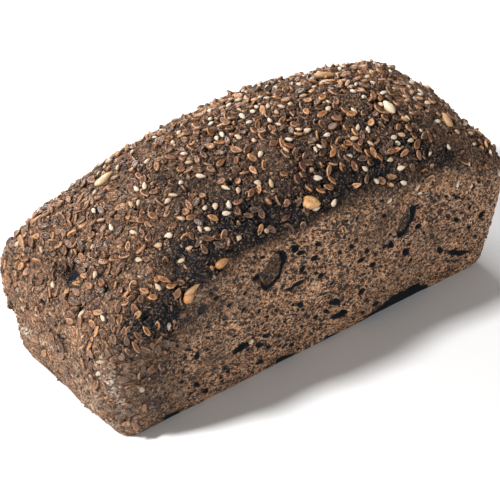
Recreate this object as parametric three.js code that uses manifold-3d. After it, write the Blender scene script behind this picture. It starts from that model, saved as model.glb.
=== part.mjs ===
// Multigrain sourdough loaf, baked in a tin: a flat base, walls that lean out, and a seeded dome.
// Millimetres, +Z up. X runs along the loaf from its near end to its far end, and the front wall faces -Y.

import * as THREE from 'three';
import { LoftGeometry } from 'three/addons/geometries/LoftGeometry.js';
import { mergeVertices } from 'three/addons/utils/BufferGeometryUtils.js';
import Module from 'manifold-3d';

// Base and rim, as the tin shaped them: how far each wall is from the middle, and the corner radius
const BASE = { near: 85, far: 85, front: 32, back: 32, corner: 6.4 };
const RIM = { near: 93.3, far: 92.2, front: 39.7, back: 37.9, corner: 14.8 };
const BASE_EDGE_ROUND = 1.6;
const BASE_EDGE_SHARES = [0, 0.5];

// Walls: height of the rim where the dome starts, how far from an end it dips, and belly at mid height
const SIDE_RIM_HEIGHT = { front: 59.3, back: 55.7 };
const END_RIM_HEIGHT = { near: 39.8, far: 40.9 };
const RIM_DIP_LENGTH = 47.7;
const WALL_BELLY = { near: 3.1, far: 2.4, front: 2.1, back: 3.3 };

// Dome: its crest runs along the loaf, drops by a parabola towards each end and drifts a little sideways
const CREST_HEIGHT = 85.3;
const CREST_HALF_LENGTH = 52.7;
const CREST_DROP = { near: 7.2, far: 5.1 };
const CREST_DROP_DISTANCE = 50;
const CREST_DRIFT = { near: 1.2, far: 1.6 };
const DOME_CURVE = 2.1;
const DOME_FULLNESS = { near: 2.08, far: 2.08, front: 1.83, back: 1.83 };

// Local swells (height above zero) and hollows (below zero) that the rising dough left in the form
const SWELLS = [
  { at: [81, -22, 62], reach: 12, height: -2.2 },
  { at: [78, 12, 65], reach: 10, height: 0.8 },
  { at: [-48, 35, 60], reach: 15, height: -2 },
  { at: [-91, 31, 36], reach: 10, height: 0.9 },
  { at: [-88, 30, 15], reach: 8, height: -3.6 },
  { at: [-86, 31, 5], reach: 5, height: 1 },
];

// Low waves that run through the whole crust
const WAVES = [
  { along: [1, 0.5, 0.4], length: 43, height: 0.5, phase: 0.9 },
  { along: [-0.5, 1, 0.7], length: 31, height: 0.35, phase: 2.1 },
  { along: [0.7, -0.6, 1], length: 23, height: 0.25, phase: 4 },
];
const RELIEF_FADE_HEIGHT = 6;

// Burst bubbles, tears and undercuts of the front wall: middle, length, height, depth, and turn in degrees
const FRONT_TEARS = [
  { x: -25.4, z: 50.9, length: 15, height: 6.5, depth: 2.4, turn: 54 },
  { x: 36.9, z: 42, length: 12, height: 3.4, depth: 2.4, turn: 51 },
  { x: -16.3, z: 39.8, length: 10.5, height: 2.4, depth: 2, turn: -4 },
  { x: -39.2, z: 22.6, length: 9.5, height: 2.8, depth: 2.2, turn: 23 },
  { x: 41, z: 2, length: 34, height: 9, depth: 4.5, turn: -3 },
  { x: -13.5, z: 1.5, length: 9, height: 4, depth: 2, turn: 0 },
  { x: 69.1, z: 13.9, length: 20, height: 2.8, depth: 1.8, turn: -20 },
  { x: 6.2, z: 18, length: 6, height: 3.6, depth: 2, turn: 50 },
  { x: -12.7, z: 29.4, length: 5.5, height: 2.6, depth: 1.8, turn: 15 },
  { x: -10.8, z: 19.8, length: 5, height: 2.6, depth: 1.8, turn: 10 },
  { x: -15.7, z: 55.2, length: 4, height: 3, depth: 1.8, turn: 0 },
  { x: -33.1, z: 51.3, length: 5, height: 2.6, depth: 1.8, turn: 30 },
  { x: 42.8, z: 38.7, length: 4.5, height: 3.2, depth: 2, turn: 40 },
  { x: 38, z: 29.1, length: 4, height: 3.2, depth: 2, turn: 0 },
  { x: -57.7, z: 28, length: 4, height: 2.8, depth: 1.8, turn: 70 },
];

// Seeds: sunflower kernels at their own places, then flax and sesame over the dome and down the near end
const KERNEL = { length: 8.4, width: 4.4, height: 2.6, taper: 0.45 };
const KERNELS = [
  { at: [-7.3, -36.5, 69.3], turn: -20 },
  { at: [43.9, -17.4, 78.8], turn: -60 },
  { at: [-57.7, 13.8, 73.3], turn: 25 },
  { at: [-61.3, -39.1, 57.5], turn: 30 },
  { at: [-47.9, -39.1, 63.7], turn: 35 },
  { at: [38, 10.6, 80.9], turn: -35 },
  { at: [66.7, -25, 68.2], turn: -45 },
];
const FLAX = { length: 4.8, width: 2.6, height: 1.7, taper: 0.4 };
const SESAME = { length: 3.5, width: 2.3, height: 1.6, taper: 0.4 };
const SESAME_SHARE = 0.25;
const SEED_SPACING = 10.4;
const SEED_SIZE_SPREAD = 0.12;
const SEED_SINK = 0.25;
const DOME_DRAWS = 6000;
const DOME_BAND = { low: 0.03, high: 0.99 };
const NEAR_END_DRAWS = 600;
const NEAR_END_BAND = { low: -0.6, high: 0 };
const NEAR_END_HALF_SHARE = 0.06;
const SPOT_STEP = 0.004;
const SPRINKLE_START = 7;

// Mesh density
const AROUND = 104;
const WALL_STEPS = 8;
const DOME_STEPS = 9;
const DOME_STEP_POWER = 2;
const TEAR_SIDES = 8;
const TEAR_RINGS = 6;
const SEED_SIDES = 5;
const SEED_RINGS = 4;
const MERGE_DISTANCE = 0.001;

const clampToOne = (value) => THREE.MathUtils.clamp(value, 0, 1);
const random = (low, high) => THREE.MathUtils.lerp(low, high, THREE.MathUtils.seededRandom());

// Plan outline of the base or the rim: a rectangle with rounded corners, counter-clockwise from above.
// It starts in the middle of the near end, so that each strip of the front has its partner at the back.
function planOutline(size) {
  const { near, far, front, back, corner } = size;
  const quarter = Math.PI / 2;
  const plan = new THREE.Path();
  plan.moveTo(-near, 0);
  plan.lineTo(-near, corner - front);
  plan.absarc(corner - near, corner - front, corner, 2 * quarter, 3 * quarter);
  plan.lineTo(far - corner, -front);
  plan.absarc(far - corner, corner - front, corner, -quarter, 0);
  plan.lineTo(far, back - corner);
  plan.absarc(far - corner, back - corner, corner, 0, quarter);
  plan.lineTo(corner - near, back);
  plan.absarc(corner - near, back - corner, corner, quarter, 2 * quarter);
  plan.lineTo(-near, 0);
  return plan;
}

const basePlan = planOutline(BASE);
const rimPlan = planOutline(RIM);

// How much of each wall's value counts in a plan direction: the squares of a unit normal add up to one
function mixWalls(values, normal) {
  const ends = values.near * clampToOne(-normal.x) ** 2 + values.far * clampToOne(normal.x) ** 2;
  const sides = values.front * clampToOne(-normal.y) ** 2 + values.back * clampToOne(normal.y) ** 2;
  return ends + sides;
}

// One upright strip of the crust, at a share of the way round the plan
function columnAt(share) {
  const base = basePlan.getPoint(share);
  const rim = rimPlan.getPoint(share);
  const tangent = rimPlan.getTangent(share);
  const normal = new THREE.Vector2(tangent.y, -tangent.x);
  const end = rim.x < 0 ? 'near' : 'far';
  const dip = 1 - THREE.MathUtils.smoothstep(RIM[end] - Math.abs(rim.x), 0, RIM_DIP_LENGTH);
  const toBack = (rim.y + RIM.front) / (RIM.front + RIM.back);
  const sideHeight = THREE.MathUtils.lerp(SIDE_RIM_HEIGHT.front, SIDE_RIM_HEIGHT.back, toBack);
  const rimHeight = THREE.MathUtils.lerp(sideHeight, END_RIM_HEIGHT[end], dip);
  const belly = mixWalls(WALL_BELLY, normal);
  const fullness = mixWalls(DOME_FULLNESS, normal);
  const crestX = THREE.MathUtils.clamp(base.x, -CREST_HALF_LENGTH, CREST_HALF_LENGTH);
  const toNear = clampToOne(-crestX / CREST_HALF_LENGTH) ** 2;
  const toFar = clampToOne(crestX / CREST_HALF_LENGTH) ** 2;
  const crest = new THREE.Vector2(crestX, CREST_DRIFT.near * toNear + CREST_DRIFT.far * toFar);
  return { base, rim, rimHeight, normal, belly, fullness, crest };
}

// Height of the crest's parabola at a place along the loaf
function crestHeightAt(x) {
  const drop = x < 0 ? CREST_DROP.near : CREST_DROP.far;
  return CREST_HEIGHT - drop * (x / CREST_DROP_DISTANCE) ** 2;
}

// Height of the swells and waves at a point, fading out towards the flat base
function reliefAt(point) {
  let height = 0;
  for (const swell of SWELLS) {
    const distance = point.distanceTo(new THREE.Vector3(...swell.at));
    height += swell.height * Math.exp(-((distance / swell.reach) ** 2));
  }
  for (const wave of WAVES) {
    const along = new THREE.Vector3(...wave.along).normalize();
    const turns = point.dot(along) / wave.length;
    height += wave.height * Math.sin(2 * Math.PI * turns + wave.phase);
  }
  return height * clampToOne(point.z / RELIEF_FADE_HEIGHT);
}

// Point of a strip's wall, from 0 at the base to 1 at the rim
function wallPoint(column, share) {
  const plan = column.base.clone().lerp(column.rim, share);
  plan.addScaledVector(column.normal, column.belly * Math.sin(Math.PI * share));
  const point = new THREE.Vector3(plan.x, plan.y, column.rimHeight * share);
  const outward = new THREE.Vector3(column.normal.x, column.normal.y, 0);
  return point.addScaledVector(outward, reliefAt(point));
}

// Point of a strip's dome, from 0 at the rim to 1 at the crest
function domePoint(column, share) {
  const rise = (1 - (1 - share) ** DOME_CURVE) ** (1 / column.fullness);
  const plan = column.rim.clone().lerp(column.crest, share);
  const height = THREE.MathUtils.lerp(column.rimHeight, crestHeightAt(plan.x), rise);
  const point = new THREE.Vector3(plan.x, plan.y, height);
  const tilt = (share * Math.PI) / 2;
  const level = column.normal.clone().multiplyScalar(Math.cos(tilt));
  const outward = new THREE.Vector3(level.x, level.y, Math.sin(tilt));
  return point.addScaledVector(outward, reliefAt(point));
}

// Point of a strip's crust: below zero it is on the wall, above zero on the dome
function crustPoint(column, share) {
  return share < 0 ? wallPoint(column, 1 + share) : domePoint(column, share);
}

// Ring of the rounded edge between base and wall, from 0 on the base to 1 on the wall
function edgePoint(column, share) {
  const turn = (share * Math.PI) / 2;
  const inset = BASE_EDGE_ROUND * (1 - Math.sin(turn));
  const plan = column.base.clone().addScaledVector(column.normal, -inset);
  return new THREE.Vector3(plan.x, plan.y, BASE_EDGE_ROUND * (1 - Math.cos(turn)));
}

// The bare form: rings lofted from the base to the crest, where front and back strips meet
function loafForm() {
  const columns = [];
  for (let i = 0; i < AROUND; i++) columns.push(columnAt(i / AROUND));
  const rings = [];
  for (const share of BASE_EDGE_SHARES) rings.push(columns.map((column) => edgePoint(column, share)));
  for (let j = 0; j < WALL_STEPS; j++) {
    const edgeShare = BASE_EDGE_ROUND / SIDE_RIM_HEIGHT.front;
    const share = THREE.MathUtils.lerp(edgeShare, 1, j / WALL_STEPS);
    rings.push(columns.map((column) => wallPoint(column, share)));
  }
  for (let j = 0; j <= DOME_STEPS; j++) {
    const share = Math.sin((j / DOME_STEPS) * (Math.PI / 2)) ** DOME_STEP_POWER;
    rings.push(columns.map((column) => domePoint(column, share)));
  }
  return new LoftGeometry(rings, { capStart: true });
}

// A spot on the crust with its outward normal
function crustSpot(share, height) {
  const column = columnAt((share + 1) % 1);
  const beside = columnAt((share + SPOT_STEP + 1) % 1);
  const point = crustPoint(column, height);
  const around = crustPoint(beside, height).sub(point);
  const upward = crustPoint(column, height + SPOT_STEP).sub(point);
  const normal = new THREE.Vector3().crossVectors(around, upward).normalize();
  return { point, normal };
}

// Spots drawn within a band of the crust
function drawSpots(count, shares, band) {
  const spots = [];
  for (let i = 0; i < count; i++) {
    spots.push(crustSpot(random(shares.low, shares.high), random(band.low, band.high)));
  }
  return spots;
}

// Position that a seed takes: flat on the crust, turned in degrees from the loaf's length
function seedPlacement(spot, turn) {
  const along = new THREE.Vector3(1, 0, 0).projectOnPlane(spot.normal).normalize();
  along.applyAxisAngle(spot.normal, THREE.MathUtils.degToRad(turn));
  const across = new THREE.Vector3().crossVectors(spot.normal, along);
  const place = new THREE.Matrix4().makeBasis(along, across, spot.normal);
  return place.setPosition(spot.point.clone().addScaledVector(spot.normal, -SEED_SINK));
}

// A seed along X: blunt at one tip, pointed at the other
function seedGeometry(seed, size) {
  const geometry = new THREE.SphereGeometry(0.5, SEED_SIDES, SEED_RINGS).rotateZ(-Math.PI / 2);
  const places = geometry.attributes.position;
  for (let i = 0; i < places.count; i++) {
    const x = places.getX(i);
    const slim = 1 - seed.taper * Math.max(0, 2 * x);
    const y = places.getY(i) * seed.width * slim;
    const z = places.getZ(i) * seed.height * slim;
    places.setXYZ(i, x * seed.length, y, z);
  }
  return geometry.scale(size, size, size);
}

// Kernels on the drawn spots nearest to their places
function kernelGeometries(spots) {
  return KERNELS.map((kernel) => {
    const place = new THREE.Vector3(...kernel.at);
    const nearest = spots.reduce((best, spot) =>
      spot.point.distanceTo(place) < best.point.distanceTo(place) ? spot : best,
    );
    return seedGeometry(KERNEL, 1).applyMatrix4(seedPlacement(nearest, kernel.turn));
  });
}

// Flax and sesame on those drawn spots that keep their distance from every seed already there
function smallSeedGeometries(spots, taken) {
  const seeds = [];
  for (const spot of spots) {
    if (taken.some((place) => place.distanceTo(spot.point) < SEED_SPACING)) continue;
    taken.push(spot.point);
    const kind = random(0, 1) < SESAME_SHARE ? SESAME : FLAX;
    const size = random(1 - SEED_SIZE_SPREAD, 1 + SEED_SIZE_SPREAD);
    seeds.push(seedGeometry(kind, size).applyMatrix4(seedPlacement(spot, random(0, 360))));
  }
  return seeds;
}

// A tear in the front wall: an ellipsoid centred on the crust
function tearGeometry(tear) {
  const lengthToMiddle = (Math.PI / 2 - 2) * BASE.corner + BASE.front + BASE.near;
  const column = columnAt((lengthToMiddle + tear.x) / basePlan.getLength());
  const geometry = new THREE.SphereGeometry(1, TEAR_SIDES, TEAR_RINGS);
  geometry.scale(tear.length / 2, tear.depth, tear.height / 2);
  geometry.rotateY(THREE.MathUtils.degToRad(-tear.turn));
  const place = wallPoint(column, tear.z / column.rimHeight);
  return geometry.translate(place.x, place.y, place.z);
}

const wasm = await Module();
wasm.setup();

// Closed geometry as a solid for joining and cutting, without the triangles that merging flattens
function solidOf(geometry) {
  const bare = new THREE.BufferGeometry();
  bare.setAttribute('position', geometry.attributes.position);
  bare.setIndex(geometry.index);
  const merged = mergeVertices(bare, MERGE_DISTANCE);
  const corners = [];
  for (let i = 0; i < merged.index.count; i += 3) {
    const triangle = Array.from(merged.index.array.slice(i, i + 3));
    if (new Set(triangle).size === 3) corners.push(...triangle);
  }
  const vertProperties = new Float32Array(merged.attributes.position.array);
  const triVerts = new Uint32Array(corners);
  return new wasm.Manifold(new wasm.Mesh({ numProp: 3, vertProperties, triVerts }));
}

// The largest body of a solid as a geometry
function geometryOf(solid) {
  const bodies = solid.decompose().sort((a, b) => b.volume() - a.volume());
  const mesh = bodies[0].getMesh();
  const geometry = new THREE.BufferGeometry();
  geometry.setAttribute('position', new THREE.BufferAttribute(mesh.vertProperties, 3));
  geometry.setIndex(new THREE.BufferAttribute(mesh.triVerts, 1));
  geometry.computeVertexNormals();
  return geometry;
}

THREE.MathUtils.seededRandom(SPRINKLE_START);
const form = loafForm();
const nearEnd = { low: -NEAR_END_HALF_SHARE, high: NEAR_END_HALF_SHARE };
const domeSpots = drawSpots(DOME_DRAWS, { low: 0, high: 1 }, DOME_BAND);
const spots = [...domeSpots, ...drawSpots(NEAR_END_DRAWS, nearEnd, NEAR_END_BAND)];
const kernels = kernelGeometries(spots);
const kernelPlaces = KERNELS.map((kernel) => new THREE.Vector3(...kernel.at));
const seeds = [...kernels, ...smallSeedGeometries(spots, kernelPlaces)];

let solid = solidOf(form);
for (const tear of FRONT_TEARS) solid = solid.subtract(solidOf(tearGeometry(tear)));
for (const seed of seeds) solid = solid.add(solidOf(seed));

const crust = new THREE.MeshStandardMaterial({ color: 0x6c5749, roughness: 0.9, metalness: 0 });
const loaf = new THREE.Mesh(geometryOf(solid), crust);
loaf.name = 'loaf';

// The origin is under the middle of the bare form
form.computeBoundingBox();
const middle = form.boundingBox.getCenter(new THREE.Vector3());
loaf.position.set(-middle.x, -middle.y, 0);

const bread = new THREE.Group();
bread.add(loaf);

export default bread;
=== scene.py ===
# %% [markdown]
# A multigrain sourdough loaf, baked in a tin.
#
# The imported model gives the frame: one node, the loaf, that rests on the floor with X along it. Everything
# below works in that frame. Sizes are written in millimetres, as a baker would measure them, and turned
# into Blender's metres at the moment a mesh is made.

# %% The frame
import math

import bpy
import numpy as np
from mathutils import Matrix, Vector


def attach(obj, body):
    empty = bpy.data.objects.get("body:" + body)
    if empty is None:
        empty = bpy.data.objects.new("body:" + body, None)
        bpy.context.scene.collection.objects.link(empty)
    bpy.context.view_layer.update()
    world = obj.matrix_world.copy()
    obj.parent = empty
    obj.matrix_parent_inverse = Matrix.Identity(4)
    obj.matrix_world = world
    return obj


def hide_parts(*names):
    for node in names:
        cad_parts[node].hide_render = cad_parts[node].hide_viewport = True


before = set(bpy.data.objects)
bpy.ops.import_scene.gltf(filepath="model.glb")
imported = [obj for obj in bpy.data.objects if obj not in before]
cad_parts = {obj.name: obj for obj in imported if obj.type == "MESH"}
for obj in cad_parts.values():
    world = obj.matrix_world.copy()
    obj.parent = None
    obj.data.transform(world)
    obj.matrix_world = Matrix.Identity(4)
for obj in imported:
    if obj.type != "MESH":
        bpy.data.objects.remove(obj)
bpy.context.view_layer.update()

MM = 0.001

# %% [markdown]
# The tin gives the loaf its plan: a small rectangle at the base, a larger one with rounder corners at the
# rim. A cube with bevels could stand for it, but then the wall's lean and the dome could not share one
# grid. So each outline is a formula: walk round it, and at every share of the way it gives a point and a
# direction.

# %% Plan outlines of base and rim
BASE = dict(near=85, far=85, front=32, back=32, corner=6.4)
RIM = dict(near=93.3, far=92.2, front=39.7, back=37.9, corner=14.8)
ARC_POINTS = 48


def plan_outline(size, share):
    """A rectangle with round corners, counter-clockwise from the middle of the near end. Four quarter
    circles joined by straight runs are measured by arc length, and points and outward normals are read off
    at the given shares of the whole length."""
    corner = size["corner"]
    left, right = corner - size["near"], size["far"] - corner
    low, high = corner - size["front"], size["back"] - corner
    turn = np.pi * (1 + np.arange(4)[:, None] / 2) + np.linspace(0, np.pi / 2, ARC_POINTS)
    x = np.array([left, right, right, left])[:, None] + corner * np.cos(turn)
    y = np.array([low, low, high, high])[:, None] + corner * np.sin(turn)
    x = np.concatenate([[-size["near"]], x.ravel(), [-size["near"]]])
    y = np.concatenate([[0], y.ravel(), [0]])
    turn = np.concatenate([[np.pi], turn.ravel(), [3 * np.pi]])
    length = np.concatenate([[0], np.cumsum(np.hypot(np.diff(x), np.diff(y)))])
    walked = share * length[-1]
    angle = np.interp(walked, length, turn)
    point = np.stack([np.interp(walked, length, x), np.interp(walked, length, y)], -1)
    return point, np.stack([np.cos(angle), np.sin(angle)], -1)


print("length at base and rim", [size["near"] + size["far"] for size in (BASE, RIM)])

# %% [markdown]
# The bare loaf is one grid. Its columns run round the plan and its rows climb from the base, up the leaning
# wall to the rim, and over the dome to a crest along the top, where each front column meets its partner
# from the back. The dome's rise is a rounded power curve, so that it starts steep at the rim and flattens
# at the crest, as dough does that has pushed up out of a tin.

# %% Sizes of the bare form
SIDE_RIM_HEIGHT = dict(front=59.3, back=55.7)
END_RIM_HEIGHT = dict(near=39.8, far=40.9)
RIM_DIP_LENGTH = 47.7
WALL_BELLY = dict(near=3.1, far=2.4, front=2.1, back=3.3)
CREST_HEIGHT = 85.3
CREST_HALF_LENGTH = 52.7
CREST_DROP = dict(near=7.2, far=5.1)
CREST_DROP_DISTANCE = 50
CREST_DRIFT = dict(near=1.2, far=1.6)
DOME_CURVE = 2.1
DOME_FULLNESS = dict(near=2.08, far=2.08, front=1.83, back=1.83)
BASE_EDGE_ROUND = 1.6
print("rim at", SIDE_RIM_HEIGHT, "and crest at", CREST_HEIGHT, "mm")

# %% [markdown]
# Dough never swells evenly. Its low swells and hollows are bells round known places, and three long waves
# run across them. A soft step, a distance and a bell are all that this takes, and the same three tools make
# most of the masks further down.

# %% Steps, bells and swells
SWELLS = [
    ((81, -22, 62), 12, -2.2), ((78, 12, 65), 10, 0.8), ((-48, 35, 60), 15, -2.0),
    ((-91, 31, 36), 10, 0.9), ((-88, 30, 15), 8, -3.6), ((-86, 31, 5), 5, 1.0),
]
WAVES = [
    ((1, 0.5, 0.4), 43, 0.5, 0.9),
    ((-0.5, 1, 0.7), 31, 0.35, 2.1),
    ((0.7, -0.6, 1), 23, 0.25, 4.0),
]
RELIEF_FADE_HEIGHT = 6


def smooth(low, high, value):
    """Smoothstep: 0 below low, 1 above high, and a soft S between them."""
    share = np.clip((value - low) / (high - low), 0, 1)
    return share * share * (3 - 2 * share)


def distance_from(points, place):
    """Distance of each point from a place."""
    return np.linalg.norm(points - np.array(place), axis=-1)


def bell(points, place, reach):
    """A bell round a place: exp(-(distance / reach)^2), which is 1 there and fades out at twice the reach."""
    return np.exp(-((distance_from(points, place) / reach) ** 2))


def swell_height(points):
    """Bell-shaped swells and hollows round their places, plus three low waves, fading out at the base."""
    height = np.zeros(points.shape[:-1])
    for place, reach, rise in SWELLS:
        height += rise * bell(points, place, reach)
    for along, length, rise, phase in WAVES:
        direction = np.array(along) / np.linalg.norm(along)
        height += rise * np.sin(2 * np.pi * (points @ direction) / length + phase)
    return height * np.clip(points[..., 2] / RELIEF_FADE_HEIGHT, 0, 1)


print("swells", len(SWELLS), "and waves", len(WAVES))

# %% [markdown]
# The four walls differ: each has its own belly, and its own fullness of the dome above it. At a corner a
# column faces two walls and takes a share of both, so the form runs on smoothly round the loaf.


# %% The bare form
def wall_shares(normal):
    """How much each wall counts in a plan direction: the squares of a unit normal's parts add up to one."""
    part = dict(near=-normal[..., 0], far=normal[..., 0], front=-normal[..., 1], back=normal[..., 1])
    return {wall: np.clip(value, 0, 1) ** 2 for wall, value in part.items()}


def mix_walls(values, shares):
    """A value for each column, mixed from the values of the walls that it faces."""
    return sum(values[wall] * shares[wall] for wall in values)


def loaf_form(share, climb):
    """Points and outward directions of the bare loaf. Below zero, climb goes from base (-1) to rim (0) on a
    straight lean plus half a sine wave of belly. Above zero it goes from rim to crest (1): the plan shrinks
    evenly to the crest line, and the height rises by (1 - (1 - climb)^curve)^(1 / fullness)."""
    base, _ = plan_outline(BASE, share)
    rim, normal = plan_outline(RIM, share)
    shares = wall_shares(normal)
    reach = np.where(rim[:, 0] < 0, RIM["near"], RIM["far"]) - np.abs(rim[:, 0])
    end_height = np.where(rim[:, 0] < 0, END_RIM_HEIGHT["near"], END_RIM_HEIGHT["far"])
    to_back = (rim[:, 1] + RIM["front"]) / (RIM["front"] + RIM["back"])
    side_height = SIDE_RIM_HEIGHT["front"] + to_back * (SIDE_RIM_HEIGHT["back"] - SIDE_RIM_HEIGHT["front"])
    rim_height = end_height + (side_height - end_height) * smooth(0, RIM_DIP_LENGTH, reach)
    crest_x = np.clip(base[:, 0], -CREST_HALF_LENGTH, CREST_HALF_LENGTH)
    drift = np.where(crest_x < 0, CREST_DRIFT["near"], CREST_DRIFT["far"])
    crest = np.stack([crest_x, drift * (crest_x / CREST_HALF_LENGTH) ** 2], -1)

    up_wall = np.clip(1 + climb, 0, 1)[:, None]
    over = np.clip(climb, 0, 1)[:, None]
    belly = mix_walls(WALL_BELLY, shares) * np.sin(np.pi * up_wall)
    wall = base + (rim - base) * up_wall[..., None] + normal * belly[..., None]
    plan = wall + (crest - rim) * over[..., None]
    drop = np.where(plan[..., 0] < 0, CREST_DROP["near"], CREST_DROP["far"])
    top = CREST_HEIGHT - drop * (plan[..., 0] / CREST_DROP_DISTANCE) ** 2
    rise = (1 - (1 - over) ** DOME_CURVE) ** (1 / mix_walls(DOME_FULLNESS, shares))
    height = rim_height * up_wall + (top - rim_height) * rise
    points = np.concatenate([plan, height[..., None]], -1)
    level = normal * np.cos(over * np.pi / 2)[..., None]
    lift = np.broadcast_to(np.sin(over * np.pi / 2), height.shape)
    outward = np.concatenate([level, lift[..., None]], -1)
    return points + outward * swell_height(points)[..., None], normal


def edge_rings(share, turns):
    """Rings of the rounded edge between base and wall: a quarter circle from under the base to the wall."""
    base, normal = plan_outline(BASE, share)
    inset = BASE_EDGE_ROUND * (1 - np.sin(turns))[:, None, None]
    height = BASE_EDGE_ROUND * (1 - np.cos(turns))[:, None, None]
    height = np.broadcast_to(height, (len(turns), len(share), 1))
    return np.concatenate([base - normal * inset, height], -1)


print("near end of the crest at", loaf_form(np.zeros(1), np.ones(1))[0][0, 0].round(1))

# %% [markdown]
# Rows and columns are about half a millimetre apart on the walls, fine enough for the pits. The dome's rows
# follow a squared sine, which sets them closest at the steep rim and at the crest.

# %% The crust's grid
COLUMNS = 880
EDGE_ROWS = 3
WALL_ROWS = 106
DOME_ROWS = 94

column_share = np.arange(COLUMNS) / COLUMNS
edge_turn = np.arange(EDGE_ROWS) / EDGE_ROWS * np.pi / 2
edge_share = BASE_EDGE_ROUND / SIDE_RIM_HEIGHT["front"]
wall_climb = np.linspace(edge_share - 1, 0, WALL_ROWS, endpoint=False)
dome_climb = np.sin(np.linspace(0, np.pi / 2, DOME_ROWS)) ** 2
form, column_normal = loaf_form(column_share, np.concatenate([wall_climb, dome_climb]))
form = np.concatenate([edge_rings(column_share, edge_turn), form])
rim_row = EDGE_ROWS + WALL_ROWS
middle = (form.reshape(-1, 3).min(0) + form.reshape(-1, 3).max(0)) / 2 * (1, 1, 0)
print("bare form", form.shape, "with its middle at", middle.round(2))

# %% [markdown]
# Relief needs a direction. A vertex normal is the cross product of the step round the loaf and the step up
# it, so one subtraction of shifted arrays gives all of them. Along the crest many columns share a place,
# and there the normal comes from the crest's parabola, so that shared places stay together.


# %% Normals of the grid
def grid_normals(points):
    """Unit normals of a grid that is closed round its columns: step around times step up."""
    around = np.roll(points, -1, 1) - np.roll(points, 1, 1)
    normal = np.cross(around, np.gradient(points, axis=0))
    crest_x = points[-1, :, 0]
    drop = np.where(crest_x < 0, CREST_DROP["near"], CREST_DROP["far"])
    normal[-1] = np.stack([2 * drop * crest_x / CREST_DROP_DISTANCE**2, 0 * crest_x, 1 + 0 * crest_x], -1)
    return normal / np.maximum(np.linalg.norm(normal, axis=-1, keepdims=True), 1e-9)


normals = grid_normals(form)
agreement = (normals[EDGE_ROWS + WALL_ROWS // 2, :, :2] * column_normal).sum(-1)
print("normals of the walls point out by at least", agreement.min().round(2))

# %% [markdown]
# Bread is uneven at every scale, and all of it has to come out the same on each run. Both noises below get
# their numbers from whole-numbered lattice places, mixed by multiplication, so nothing is drawn at random.
# Value noise blends the eight corners round a point and gives soft lumps. Cell noise looks for the nearest
# bubbles and gives round pits, each with its own size.


# %% Noise from a lattice
OUTSIDE = -2.0
PLACE_FACTORS = np.array([374761393, 668265263, 1440662683])
SALT_FACTOR = 974634777
FOLDS = ((13, 1274126177), (15, 2246822519))
LOW_BITS = 0xFFFFFFFF


def lattice_share(place, salt):
    """A share from 0 to 1 for each lattice place: multiply and fold its three numbers into one."""
    folded = (place * PLACE_FACTORS).sum(-1) + salt * SALT_FACTOR
    for shift, factor in FOLDS:
        folded = (folded ^ (folded >> shift)) * factor & LOW_BITS
    return ((folded ^ (folded >> 16)) & 0xFFFFFF) / 0x1000000


def lumps(points, size, salt):
    """Value noise from -1 to 1: lattice shares, blended by smoothstep across each cell of the given size."""
    scaled = points / size
    place = np.floor(scaled).astype(np.int64)
    part = scaled - place
    part = part * part * (3 - 2 * part)
    total = np.zeros(points.shape[:-1])
    for corner in np.ndindex(2, 2, 2):
        weight = np.prod(np.where(np.array(corner) == 1, part, 1 - part), axis=-1)
        total += weight * lattice_share(place + np.array(corner), salt)
    return 2 * total - 1


def mixed_lumps(points, *layers):
    """A sum of lumps. Each layer has its height, size and salt."""
    return sum(height * lumps(points, size, salt) for height, size, salt in layers)


def bubbles(points, spacing, small, large, share, salt):
    """How far, in millimetres, each point is inside a bubble. In every cell of a lattice one bubble has its
    own place and radius and is open or shut, and the result is the largest radius less distance nearby."""
    place = np.floor(points / spacing).astype(np.int64)
    inside = np.full(points.shape[:-1], OUTSIDE)
    for offset in np.ndindex(3, 3, 3):
        cell = place + np.array(offset) - 1
        centre = (cell + np.stack([lattice_share(cell, salt + axis) for axis in range(3)], -1)) * spacing
        radius = small + (large - small) * lattice_share(cell, salt + 3) ** 2
        is_open = lattice_share(cell, salt + 4) < share
        depth = radius - distance_from(points, centre)
        inside = np.maximum(inside, np.where(is_open, depth, OUTSIDE))
    return inside


warp = np.stack([lumps(form, 3.1, salt) for salt in (1, 2, 3)], -1)
print("noise ready, warp spans", warp.min().round(2), "to", warp.max().round(2))

# %% [markdown]
# The crust has two kinds of skin. Where the tin touched it, the wall is a tan, open crumb with burst
# bubbles. Above a wavy line the dough stood free: that skin is brown and carries the seeds. The line could
# be painted by hand; here its height is a short table along the front, from the near corner to the far end.
# The back takes the same heights, a little lower, and at the near end the seeded skin comes down almost to
# the base.

# %% The seed line
SEED_LINE = [
    (-92, 4), (-84, 8), (-79, 18), (-72, 32), (-66, 46), (-60, 57), (-46, 61.5), (-11, 62.5), (7, 65),
    (26, 62), (55, 61), (72, 55), (92, 47),
]
END_LINE = dict(near=5, far=44)
BACK_LOWER = 2

x, y, z = np.moveaxis(form, -1, 0)
facing = {wall: np.broadcast_to(share, z.shape) for wall, share in wall_shares(column_normal).items()}
side_line = np.interp(x, *zip(*SEED_LINE))
line = mix_walls(dict(END_LINE, front=side_line, back=side_line - BACK_LOWER), facing)
line = line + mixed_lumps(form, (2.4, 11, 11), (1.4, 4.5, 12))
above = z - line
seeded = smooth(-2.2, 1.6, above)
print("seeded share of the grid", seeded.mean().round(3))
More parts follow.
